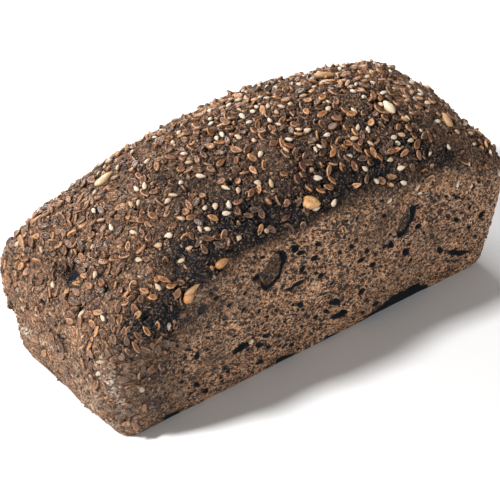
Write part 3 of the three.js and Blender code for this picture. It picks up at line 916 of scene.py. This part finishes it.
FLAX_RINGS = [(0, 0.35), (0.58, 0.5), (0.86, 0.9), (1, 0.1), (0.66, -0.7), (0, -0.9)]
SESAME_RINGS = [(0, 1), (0.5, 0.86), (0.85, 0.5), (1, -0.1), (0.6, -0.8), (0, -1)]
flax_seed = seed_shape(10, FLAX_RINGS, 0.5, *FLAX_SIZE)
sesame_seed = seed_shape(8, SESAME_RINGS, 0.7, *SESAME_SIZE)
print("faces per flax seed", len(flax_seed[1]) + len(flax_seed[2]))

# %% [markdown]
# To lay a seed down, it needs three directions: the crust's normal, a heading within the surface, and the
# cross product of both. A little tilt lifts one edge, and a few seeds stand almost on edge. Stacking these
# directions for all seeds lets one matrix product place every vertex of every seed.


# %% Laying the seeds
def lay_seeds(name, seed, cells, heading, tilt, roll, size, dish, lift, masks, knobbly=0.0):
    """One mesh of all seeds of a kind: local points times size, with the crown lowered by each seed's dish,
    turned into its own directions, lifted off its cell, and pushed about by lumps if they are knobbly."""
    points, quads, triangles, rim, crown = seed
    up = flat_normals[cells]
    places = flat_points[cells] + lift * up
    along, across = seed_axes(up, heading)
    along, up = turn_about(along, across, tilt), turn_about(up, across, tilt)
    across, up = turn_about(across, along, roll), turn_about(up, along, roll)
    basis = np.stack([along, across, up], 1)
    local = points[None] * size[:, None]
    local[..., 2] -= dish[:, None] * crown
    laid = local @ basis + places[:, None]
    if knobbly:
        laid = laid + knobbly * np.stack([lumps(laid, 1.7, salt) for salt in (81, 82, 83)], -1)
    step = np.arange(len(places))[:, None, None] * len(points)
    faces_laid = [(quads[None] + step).reshape(-1, 4), (triangles[None] + step).reshape(-1, 3)]
    spread = {mask: np.repeat(values, len(points)) for mask, values in masks.items()}
    spread["rim"] = np.tile(rim, len(places))
    return mesh_object(name, (laid - middle).reshape(-1, 3), faces_laid, spread)


# Per cell: dough with painted highlight, char with painted shade, and pressing, for the seeds.
flat_dough_and_highlight, flat_char_and_shade, flat_pressed = (values[:-1].ravel() for values in (dough_and_highlight, char_and_shade, pressed))


def sprinkle(name, seed, cells, heading, spread, sink, tilt, on_edge, dished=0.0, tone_power=1.0):
    """Seeds of one kind at the given cells, each with its own size, tilt, depth, dish and tone. Dough buries
    them, and its mask also holds the painted highlight of the crest and far end, so seeds there are buried
    more; the tin has pressed some deeper, and a share of them stands on edge."""
    count = len(cells)
    flattened = flat_pressed[cells]
    size = 1 + spread * random.standard_normal((count, 3)) * (1, 0.9, 1.3)
    buried = flat_dough_and_highlight[cells] * random.uniform(0.2, 1.2, count)
    lift = random.uniform(*sink, count) - 0.45 * buried - 0.4 * flattened
    roll = tilt * random.standard_normal(count)
    standing = random.random(count) < on_edge
    roll = np.where(standing, random.choice([-1, 1], count) * random.uniform(0.8, 1.4, count), roll)
    masks = dict(
        tone=random.random(count) ** tone_power * (1 - 0.5 * flattened),
        coat=np.clip(0.25 * buried + 0.3 * flattened, 0, 0.75),
        burnt_and_shaded=flat_char_and_shade[cells] * random.uniform(0.6, 1, count),
    )
    pitch = tilt * random.standard_normal(count)
    dish = dished * random.uniform(-1, 0.3, count)
    size = np.clip(size, 0.5, 1.7)
    return lay_seeds(name, seed, cells, heading, pitch, roll, size, dish, lift[:, None], masks)


flax = sprinkle(
    "flax_seeds", flax_seed, seed_cells[~is_sesame], seed_heading[~is_sesame],
    spread=0.13, sink=(-0.3, 0.5), tilt=0.4, on_edge=0.04, dished=0.6, tone_power=1.4,
)
sesame = sprinkle(
    "sesame_seeds", sesame_seed, seed_cells[is_sesame], seed_heading[is_sesame],
    spread=0.1, sink=(-0.1, 0.4), tilt=0.25, on_edge=0.06,
)
print("flax vertices", len(flax.data.vertices), "sesame vertices", len(sesame.data.vertices))

# %% [markdown]
# Sunflower kernels are few and large, so they get more sides. Each finds the nearest point of the crust to
# lie on, and lumps make its outline knobbly.

# %% Sunflower kernels
KERNEL_RINGS = [
    (0, 0.95), (0.3, 0.95), (0.58, 0.86), (0.82, 0.62), (0.96, 0.28), (1, 0), (0.8, -0.6), (0, -0.9),
]
KERNEL_HEIGHT = 2.6
KERNEL_LIFT = 0.55
KERNEL_BURNT = 0.2
kernel_seed = seed_shape(22, KERNEL_RINGS, 0.6, 1, 1, 1)
kernel_place, kernel_heading, length, width, kernel_tone, kernel_coat = map(np.array, zip(*KERNELS))
count = len(KERNELS)
kernels = lay_seeds(
    "sunflower_kernels", kernel_seed, nearest_cells(kernel_place), np.radians(kernel_heading),
    0.08 * random.standard_normal(count), 0.1 * random.standard_normal(count),
    np.stack([length, width, np.full(count, KERNEL_HEIGHT)], -1), np.zeros(count), KERNEL_LIFT,
    dict(tone=kernel_tone, coat=kernel_coat, burnt_and_shaded=np.full(count, KERNEL_BURNT)), knobbly=0.25,
)
print("kernels", count)

# %% [markdown]
# Between the seeds lies bran: flakes about a millimetre across, and chips of grain twice as long, most of
# them where the skin is doughy. Each is a flat double cone of five or six sides, the cheapest closed shape
# there is, pulled out of round by its own sizes.

# %% Bran flakes and chips
FLAKES = 19000
CHIPS = 2600
BRAN_RINGS = [(0, 0.9), (1, 0), (0, -0.9)]
BRAN_TILT = 0.4
unpitted = cell_area * smooth(2, 6, z)[:-1] * (hole[:-1] < 0.1)


def bran(name, count, shape, liking, spread, sink, on_edge):
    """Bran of one kind, drawn where it likes to lie and where there are no pits."""
    cells = draw_places(count, liking[:-1] * unpitted)
    heading = random.uniform(0, FULL_TURN, count)
    return sprinkle(name, shape, cells, heading, spread, sink, BRAN_TILT, on_edge)


flake = seed_shape(5, BRAN_RINGS, 0.1, 1.1, 0.75, 0.6)
flakes = bran("bran_flakes", FLAKES, flake, 0.12 + 0.88 * seeded, 0.4, (-0.1, 0.15), 0.1)
chip = seed_shape(6, BRAN_RINGS, 0.2, 1.9, 1.0, 0.7)
near_corner = smooth(-70, -84, x) * smooth(-20, -30, y)
chip_liking = seeded * (0.25 + dough_and_highlight + 2 * near_corner)
chips = bran("bran_chips", CHIPS, chip, chip_liking, 0.35, (-0.1, 0.25), 0.15)
print("bran flakes", FLAKES, "and chips", CHIPS)

# %% [markdown]
# Materials are built from nodes in code, and small helpers keep that readable. One makes a node and fills
# or links its inputs, another turns colours as a painter's palette gives them into the linear values that a
# renderer needs, and the rest are sums, products, mixes and ramps.


# %% Node helpers
def linear(red, green, blue):
    """Linear colour from a picked one: ((c + 0.055) / 1.055)^2.4."""
    picked = np.array([red, green, blue]) / 255
    return (*((picked + 0.055) / 1.055) ** 2.4, 1.0)


def make_node(tree, kind, inputs=None, **settings):
    """A shader node with its settings. An input is a value, or another node's output socket to link."""
    made = tree.nodes.new("ShaderNode" + kind)
    for name, value in settings.items():
        setattr(made, name, value)
    for name, value in (inputs or {}).items():
        if isinstance(value, bpy.types.NodeSocket):
            tree.links.new(value, made.inputs[name])
        else:
            made.inputs[name].default_value = value
    return made


def tones(*rows):
    """Stops for a ramp, from rows of a place and a picked colour."""
    return [(place, linear(*colour)) for place, *colour in rows]


def math_node(tree, operation, first, second=0.0, clamp=False):
    """The result of one operation on two values."""
    inputs = {0: first, 1: second}
    return make_node(tree, "Math", inputs, operation=operation, use_clamp=clamp).outputs[0]


def multiply(tree, first, second, clamp=False):
    """A product of two values."""
    return math_node(tree, "MULTIPLY", first, second, clamp)


def add(tree, first, second, clamp=False):
    """A sum of two values."""
    return math_node(tree, "ADD", first, second, clamp)


def mix_colour(tree, factor, first, second, blend="MIX"):
    """Two colours mixed by a factor."""
    inputs = {"Factor": factor, 6: first, 7: second}
    return make_node(tree, "Mix", inputs, data_type="RGBA", blend_type=blend).outputs[2]


def ramp(tree, factor, stops):
    """A colour ramp with the given places and colours."""
    made = make_node(tree, "ValToRGB", {"Fac": factor})
    elements = made.color_ramp.elements
    while len(elements) < len(stops):
        elements.new(0.5)
    for element, (place, colour) in zip(elements, stops):
        element.position = place
        element.color = colour
    return made.outputs["Color"]


def mask_of(tree, name):
    """A vertex mask, read by its name."""
    return make_node(tree, "Attribute", attribute_name=name).outputs["Fac"]


print("middle grey in linear light", round(linear(128, 128, 128)[0], 3))

# %% [markdown]
# Two effects are used more than once, so each is a node group. The mottle is fine noise with its contrast
# raised: the uneven browning of anything baked. The pores are cells of a Voronoi pattern, each open or shut
# by its own chance, with a middle that the crust paints dark as shade, and a soft rim.


# %% Node groups
def new_group(name, inputs, output):
    """An empty group with named number inputs, a vector input and one output."""
    group = bpy.data.node_groups.new(name, "ShaderNodeTree")
    group.interface.new_socket("Vector", in_out="INPUT", socket_type="NodeSocketVector")
    for socket, value in inputs.items():
        made = group.interface.new_socket(socket, in_out="INPUT", socket_type="NodeSocketFloat")
        made.default_value = value
    group.interface.new_socket(output, in_out="OUTPUT", socket_type="NodeSocketFloat")
    entry = group.nodes.new("NodeGroupInput").outputs
    exit_node = group.nodes.new("NodeGroupOutput")
    return group, entry, exit_node.inputs[output]


def mottle_group():
    """Noise stretched about its middle value by a contrast."""
    group, entry, result = new_group("Baked mottle", {"Scale": 500.0, "Contrast": 2.5}, "Value")
    inputs = {"Vector": entry["Vector"], "Scale": entry["Scale"], "Detail": 3.0, "Roughness": 0.6}
    noise = make_node(group, "TexNoise", inputs).outputs[0]
    centred = math_node(group, "SUBTRACT", noise, 0.5)
    stretched = multiply(group, centred, entry["Contrast"])
    group.links.new(add(group, stretched, 0.5, clamp=True), result)
    return group


def pore_group():
    """Open cells: 1 inside a radius that each cell draws for itself, falling to 0 at its rim."""
    group, entry, result = new_group("Crumb pores", {"Scale": 500.0, "Share": 0.5, "Radius": 0.5}, "Mask")
    noise = make_node(group, "TexNoise", {"Vector": entry["Vector"], "Scale": 420.0, "Detail": 2.0})
    centred = {0: noise.outputs["Color"], 1: (0.5, 0.5, 0.5)}
    offset = make_node(group, "VectorMath", centred, operation="SUBTRACT").outputs[0]
    pull = make_node(group, "VectorMath", {0: offset, "Scale": 0.0016}, operation="SCALE").outputs[0]
    place = make_node(group, "VectorMath", {0: entry["Vector"], 1: pull}, operation="ADD").outputs[0]
    cells = make_node(group, "TexVoronoi", {"Vector": place, "Scale": entry["Scale"]})
    drawn_values = make_node(group, "SeparateColor", {0: cells.outputs["Color"]}).outputs
    radius = multiply(group, entry["Radius"], add(group, drawn_values[0], 0.35))
    inside = math_node(group, "SUBTRACT", radius, cells.outputs["Distance"])
    pore = multiply(group, inside, 9.0, clamp=True)
    is_open = math_node(group, "LESS_THAN", drawn_values[1], entry["Share"])
    group.links.new(multiply(group, pore, is_open), result)
    return group


MOTTLE = mottle_group()
PORES = pore_group()
print("node groups", MOTTLE.name, "and", PORES.name)

# %% [markdown]
# Every material starts from a Principled shader and reads Object coordinates, so that a pattern stays where
# it is on its piece. The helpers below place a group, set what is the same all over, and add a bump.


# %% Material helpers
def use_group(tree, group, vector, **values):
    """A group placed in a material with its own values."""
    made = tree.nodes.new("ShaderNodeGroup")
    made.node_tree = group
    tree.links.new(vector, made.inputs["Vector"])
    for name, value in values.items():
        made.inputs[name].default_value = value
    return made.outputs[0]


def new_material(name):
    """A material with its tree, its Principled shader and Object coordinates."""
    material = bpy.data.materials.new(name)
    material.use_nodes = True
    tree = material.node_tree
    shader = tree.nodes["Principled BSDF"]
    place = make_node(tree, "TexCoord").outputs["Object"]
    return material, tree, shader, place


def finish_shader(tree, shader, colour, roughness, specular):
    """Colour, roughness and specular level on the shader."""
    tree.links.new(colour, shader.inputs["Base Color"])
    shader.inputs["Roughness"].default_value = roughness
    shader.inputs["Specular IOR Level"].default_value = specular


def set_bump(tree, shader, height, distance, strength):
    """A bump of the given depth in metres on the shader's normal."""
    inputs = {"Height": height, "Distance": distance, "Strength": strength}
    tree.links.new(make_node(tree, "Bump", inputs).outputs[0], shader.inputs["Normal"])


# %% [markdown]
# The crust mixes its skins by the masks on its vertices: tan open crumb, darker where it is sooty, and
# brown seeded skin, paler where it is doughy and where the crest and far dome carry a painted highlight. One
# grain, a mottle at three scales, picks the colour within each of them. A tint then makes spots of the mix
# warmer or cooler, and char covers it, most where the grain is dark; the same dark paints the shade in the
# grooves round seeds, in the near dome's valleys and on the front of the near corner.

# %% The crust's skins
GRAIN = [(900.0, 2.6, 0.5), (110.0, 2.0, 0.2), (1900.0, 2.6, 0.3)]
CRUMB_TONES = tones((0.2, 46, 47, 50), (0.4, 133, 106, 88), (0.6, 191, 153, 124), (0.82, 238, 203, 172))
SOOT_TONES = tones((0.25, 32, 33, 35), (0.5, 68, 60, 55), (0.75, 132, 107, 90))
SKIN_TONES = tones((0.2, 22, 24, 28), (0.42, 70, 60, 54), (0.62, 137, 108, 88), (0.85, 200, 163, 133))
# Doughy skin, also the painted highlight along the crest and far dome.
DOUGH_AND_HIGHLIGHT_TONES = tones((0.2, 42, 40, 40), (0.42, 109, 86, 71), (0.62, 159, 127, 104), (0.85, 222, 190, 162))
TINT = [(0.05, (0.86, 0.92, 0.95, 1)), (0.3, (0.98, 0.93, 0.87, 1)), (0.85, (1, 0.86, 0.72, 1))]
# Char, and the painted shade of grooves, valleys and the near corner.
CHAR_AND_SHADE_COLOUR = linear(21, 23, 27)


def crust_grain(tree, place):
    """A fine mottle, and the grain: three mottles added up by their shares."""
    layers = [use_group(tree, MOTTLE, place, Scale=scale, Contrast=contrast) for scale, contrast, _ in GRAIN]
    fine, broad, finest = (multiply(tree, layer, share) for layer, (_, _, share) in zip(layers, GRAIN))
    return layers[0], add(tree, add(tree, fine, broad), finest)


def crust_skins(tree, place, grain, seeded_mask):
    """Crumb and seeded skin by their masks, tinted, then darkened by charred skin and painted shade."""
    crumb_colour, soot_colour = ramp(tree, grain, CRUMB_TONES), ramp(tree, grain, SOOT_TONES)
    crumb_colour = mix_colour(tree, mask_of(tree, "soot"), crumb_colour, soot_colour)
    # Painted highlight with dough: the doughy mask also makes the crest and far dome paler.
    skin_colour, dough_and_highlight_colour = ramp(tree, grain, SKIN_TONES), ramp(tree, grain, DOUGH_AND_HIGHLIGHT_TONES)
    skin_colour = mix_colour(tree, mask_of(tree, "dough_and_highlight"), skin_colour, dough_and_highlight_colour)
    colour = mix_colour(tree, seeded_mask, crumb_colour, skin_colour)
    warmth = use_group(tree, MOTTLE, place, Scale=330.0, Contrast=3.2)
    colour = mix_colour(tree, 1.0, colour, ramp(tree, warmth, TINT), "MULTIPLY")
    dark_grain = math_node(tree, "SUBTRACT", 1.35, multiply(tree, grain, 0.7))
    # Painted shade with char: this mask also darkens grooves, valleys and the near corner.
    burnt_and_shaded = multiply(tree, mask_of(tree, "char_and_shade"), dark_grain, clamp=True)
    return mix_colour(tree, burnt_and_shaded, colour, CHAR_AND_SHADE_COLOUR)


print("layers of grain", len(GRAIN))

# %% [markdown]
# Pores too fine for the mesh come from the pore group, both as dark spots of painted shade and as bump. The
# holes of the mesh are painted dark as shade, with a crisp, ragged edge from the field of millimetres, and
# flour lies over everything.

# %% Crust material
# Painted shade: the near-black inside holes, pits, crevices, undercuts, dimples and fine pores.
HOLE_SHADE_COLOUR = linear(34, 36, 40)
FLOUR_COLOUR = linear(214, 198, 182)


def crust_pores(tree, place, seeded_mask):
    """Two sizes of fine pores, drawn out along the slope of the pits, and fewer under skin or soot."""
    inputs = {"Vector": place, "Rotation": (0, math.radians(PIT_SLOPE), 0), "Scale": (1.4, 1.1, 0.87)}
    drawn_out = make_node(tree, "Mapping", inputs, vector_type="TEXTURE").outputs[0]
    wide = use_group(tree, PORES, drawn_out, Scale=620.0, Share=0.38, Radius=0.5)
    fine = use_group(tree, PORES, drawn_out, Scale=1250.0, Share=0.7, Radius=0.55)
    sooty = multiply(tree, mask_of(tree, "soot"), 0.4)
    closed = math_node(tree, "MAXIMUM", multiply(tree, seeded_mask, 0.72), sooty)
    open_share = math_node(tree, "SUBTRACT", 1.0, closed)
    return multiply(tree, math_node(tree, "MAXIMUM", wide, fine), open_share)


def crust_material():
    """Skins, then pores and holes painted dark as shade, then flour, with a bump of grain and pores."""
    material, tree, shader, place = new_material("baked_crust")
    seeded_mask = mask_of(tree, "seeded")
    fine, grain = crust_grain(tree, place)
    colour = crust_skins(tree, place, grain, seeded_mask)
    pores = crust_pores(tree, place, seeded_mask)
    ragged = add(tree, mask_of(tree, "hole"), multiply(tree, fine, 0.25))
    edge = {"Value": ragged, "From Min": -0.08, "From Max": 0.16}
    deep = make_node(tree, "MapRange", edge, interpolation_type="SMOOTHSTEP").outputs[0]
    # Painted shade: pores and mesh holes are mixed towards the hole colour.
    holes = math_node(tree, "MAXIMUM", multiply(tree, pores, 0.9), deep)
    colour = mix_colour(tree, holes, colour, HOLE_SHADE_COLOUR)
    dusted = multiply(tree, mask_of(tree, "flour"), math_node(tree, "POWER", fine, 1.5), clamp=True)
    colour = mix_colour(tree, dusted, colour, FLOUR_COLOUR)
    finish_shader(tree, shader, colour, 0.82, 0.1)
    height = math_node(tree, "SUBTRACT", multiply(tree, grain, 1.2), pores)
    set_bump(tree, shader, height, 0.0008, 0.9)
    return material


baked_crust = crust_material()
for skin in (crust_walls, crust_dome):
    skin.data.materials.append(baked_crust)
print("material", baked_crust.name)

# %% [markdown]
# Seeds share one recipe with different colours. Each seed carries a tone, drawn once, so that dark and
# golden ones lie side by side. Its rim is paler than its face, on some seeds more than on others; on flax
# that pale rim is partly the seed's own colour and partly a painted highlight, and the dished centre is
# painted darker as shade. Where dough covers it the crust's colour shows through.

# %% Seed material
# Painted shade for the dished centre of a seed.
CENTRE_SHADE_COLOUR = linear(38, 31, 28)
COAT_COLOUR = linear(112, 90, 72)
SEED_CHAR_AND_SHADE_COLOUR = linear(30, 27, 26)
SEED_SPECULAR = 0.45


def seed_material(
    name, stops, rim_colour, rim_strength, roughness, scale, char_and_shade_strength, centre_shade=0.0, mottled=0.2
):
    """Colour by the seed's own tone, a centre darkened as painted shade, a paler rim that is partly a painted
    highlight, fine mottle, a doughy film, and darkening from the crust's charred skin and painted shade.
    """
    material, tree, shader, place = new_material(name)
    fine = use_group(tree, MOTTLE, place, Scale=scale, Contrast=2.0)
    tone = mask_of(tree, "tone")
    shade = add(tree, multiply(tree, tone, 1 - mottled), multiply(tree, fine, mottled))
    colour = ramp(tree, shade, stops)
    outward = mask_of(tree, "rim")
    # Painted shade: the centre of a dished seed is darkened.
    centre = multiply(tree, math_node(tree, "SUBTRACT", 1.0, outward), centre_shade)
    colour = mix_colour(tree, centre, colour, CENTRE_SHADE_COLOUR)
    # Partly painted highlight: the rim is mixed towards the rim colour, pale on flax.
    edge = {"Value": outward, "From Min": 0.7, "From Max": 0.95, "To Max": rim_strength}
    rim = make_node(tree, "MapRange", edge).outputs[0]
    ringed = add(tree, math_node(tree, "FRACT", multiply(tree, tone, 5.7)), 0.25)
    colour = mix_colour(tree, multiply(tree, multiply(tree, rim, fine), ringed), colour, rim_colour)
    coat = multiply(tree, mask_of(tree, "coat"), add(tree, fine, 0.4), clamp=True)
    colour = mix_colour(tree, coat, colour, COAT_COLOUR)
    # Painted shade with char: each seed takes the crust's char and shade from under it.
    burnt_and_shaded = multiply(tree, mask_of(tree, "burnt_and_shaded"), char_and_shade_strength)
    colour = mix_colour(tree, burnt_and_shaded, colour, SEED_CHAR_AND_SHADE_COLOUR)
    finish_shader(tree, shader, colour, roughness, SEED_SPECULAR)
    set_bump(tree, shader, fine, 0.0002, 0.7)
    return material


# %% [markdown]
# What is left is a table of looks. Flax is dark and shiny with a bright rim, partly a painted highlight, and
# a centre in painted shade; sesame is cream, kernels are toasted from brown to pale, and the bran is dull.
# Char, with the crust's painted shade, darkens the bran most, since it lies in the skin.

# %% Looks of the seeds
LOOKS = {
    flax: dict(
        name="flax_coat", rim_colour=linear(222, 172, 124), rim_strength=0.8, roughness=0.28, scale=1200.0,
        stops=tones((0.05, 47, 36, 31), (0.3, 94, 60, 41), (0.6, 142, 90, 57), (0.9, 212, 152, 96)),
        char_and_shade_strength=0.3, centre_shade=0.55, mottled=0.35,
    ),
    sesame: dict(
        name="sesame_coat", rim_colour=linear(206, 178, 148), rim_strength=0.3, roughness=0.45, scale=1400.0,
        stops=tones((0.1, 176, 138, 102), (0.35, 196, 170, 140), (0.7, 208, 189, 166), (1, 220, 205, 188)),
        char_and_shade_strength=0.2,
    ),
    kernels: dict(
        name="kernel_coat", rim_colour=linear(160, 106, 62), rim_strength=0.5, roughness=0.45, scale=750.0,
        stops=tones((0.1, 150, 92, 46), (0.4, 194, 136, 78), (0.6, 222, 178, 122), (0.9, 236, 214, 184)),
        char_and_shade_strength=0.3, mottled=0.5,
    ),
    chips: dict(
        name="chip_coat", rim_colour=linear(150, 110, 80), rim_strength=0.3, roughness=0.6, scale=1300.0,
        stops=tones((0.1, 60, 44, 35), (0.4, 118, 84, 60), (0.7, 166, 118, 80), (1, 220, 186, 152)),
        char_and_shade_strength=0.9,
    ),
    flakes: dict(
        name="bran_coat", rim_colour=linear(120, 94, 76), rim_strength=0.2, roughness=0.75, scale=1500.0,
        stops=tones((0.1, 40, 34, 31), (0.5, 96, 71, 54), (0.8, 152, 112, 82), (1, 212, 174, 138)),
        char_and_shade_strength=0.9,
    ),
}
for piece, look in LOOKS.items():
    piece.data.materials.append(seed_material(**look))
    print(piece.name, "is coloured by", look["name"])

# %% [markdown]
# All pieces belong to the loaf's one body. Together they stand for its node, which stays hidden as the
# solid that carries weight and collisions.

# %% Pieces and their slots
SLOTS = {
    crust_walls: "crust",
    crust_dome: "crust",
    flakes: "crust",
    chips: "crust",
    flax: "flax",
    sesame: "sesame",
    kernels: "sunflower",
}
for piece, slot in SLOTS.items():
    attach(piece, "root")
    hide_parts("loaf")
    print(piece.name, "takes the slot", slot)

# %% [markdown]
# The stage is a pale floor. A small key light stands high at the near end, a little to the back, so that
# the near end and the dome are bright and the front wall lies in soft shade, as a loaf looks beside a
# window. A weak light low in front opens that shade, a broad one behind picks out the dome's edge, and a
# little light comes from all round.

# %% Floor and light
FLOOR_HALF = 3.0
LIGHTS = dict(
    key=dict(place=(-1.0, 0.18, 0.9), size=0.16, power=25.5),
    fill=dict(place=(-0.1, -1.5, 0.3), size=0.6, power=9.2),
    back=dict(place=(0.2, 1.25, 0.75), size=0.9, power=23),
)
LIGHT_TARGET = (0, 0, 0.04)
AROUND_STRENGTH = 0.24

floor_corners = np.array([(-1, -1, 0), (1, -1, 0), (1, 1, 0), (-1, 1, 0)]) * FLOOR_HALF / MM
floor = mesh_object("floor", floor_corners, [np.arange(4)[None]], {})
floor_paint = bpy.data.materials.new("floor_paint")
floor_paint.use_nodes = True
floor_shader = floor_paint.node_tree.nodes["Principled BSDF"]
floor_shader.inputs["Base Color"].default_value = linear(240, 240, 240)
floor_shader.inputs["Roughness"].default_value = 0.9
floor.data.materials.append(floor_paint)


def new_thing(name, data, place, target):
    """A lamp or camera at a place, looking at a target with its top up."""
    thing = bpy.data.objects.new(name, data)
    bpy.context.scene.collection.objects.link(thing)
    thing.location = place
    thing.rotation_euler = (Vector(target) - Vector(place)).to_track_quat("-Z", "Y").to_euler()
    return thing


def soft_light(name, place, size, power):
    """A square area light."""
    lamp = bpy.data.lights.new(name, "AREA")
    lamp.size = size
    lamp.energy = power
    new_thing(name, lamp, place, LIGHT_TARGET)


for name, light in LIGHTS.items():
    soft_light(name, **light)
world = bpy.data.worlds.new("studio")
world.use_nodes = True
background = world.node_tree.nodes["Background"]
background.inputs["Color"].default_value = (1, 1, 1, 1)
background.inputs["Strength"].default_value = AROUND_STRENGTH
bpy.context.scene.world = world
bpy.context.scene.view_settings.view_transform = "Standard"
print("lights", list(LIGHTS))

# %% [markdown]
# The camera stands where the photo was taken from: its angles were fitted to the loaf's outline. A long
# lens from 70 cm away shows the wall and the dome with little perspective.

# %% Camera
CAMERA_AZIMUTH = math.radians(-38.4)
CAMERA_ELEVATION = math.radians(35.6)
CAMERA_DISTANCE = 700
CAMERA_TARGET = np.array([-5.0, 0, 28.0])
LENS = 137.16
SENSOR_WIDTH = 36

back = np.array([
    math.sin(CAMERA_AZIMUTH) * math.cos(CAMERA_ELEVATION),
    -math.cos(CAMERA_AZIMUTH) * math.cos(CAMERA_ELEVATION),
    math.sin(CAMERA_ELEVATION),
])
camera_data = bpy.data.cameras.new("camera")
camera_data.lens = LENS
camera_data.sensor_width = SENSOR_WIDTH
camera_data.clip_start = 0.05
aim = (CAMERA_TARGET - middle) * MM
camera = new_thing("camera", camera_data, aim + back * CAMERA_DISTANCE * MM, aim)
bpy.context.scene.camera = camera
print("camera at", [round(v, 3) for v in camera.location])
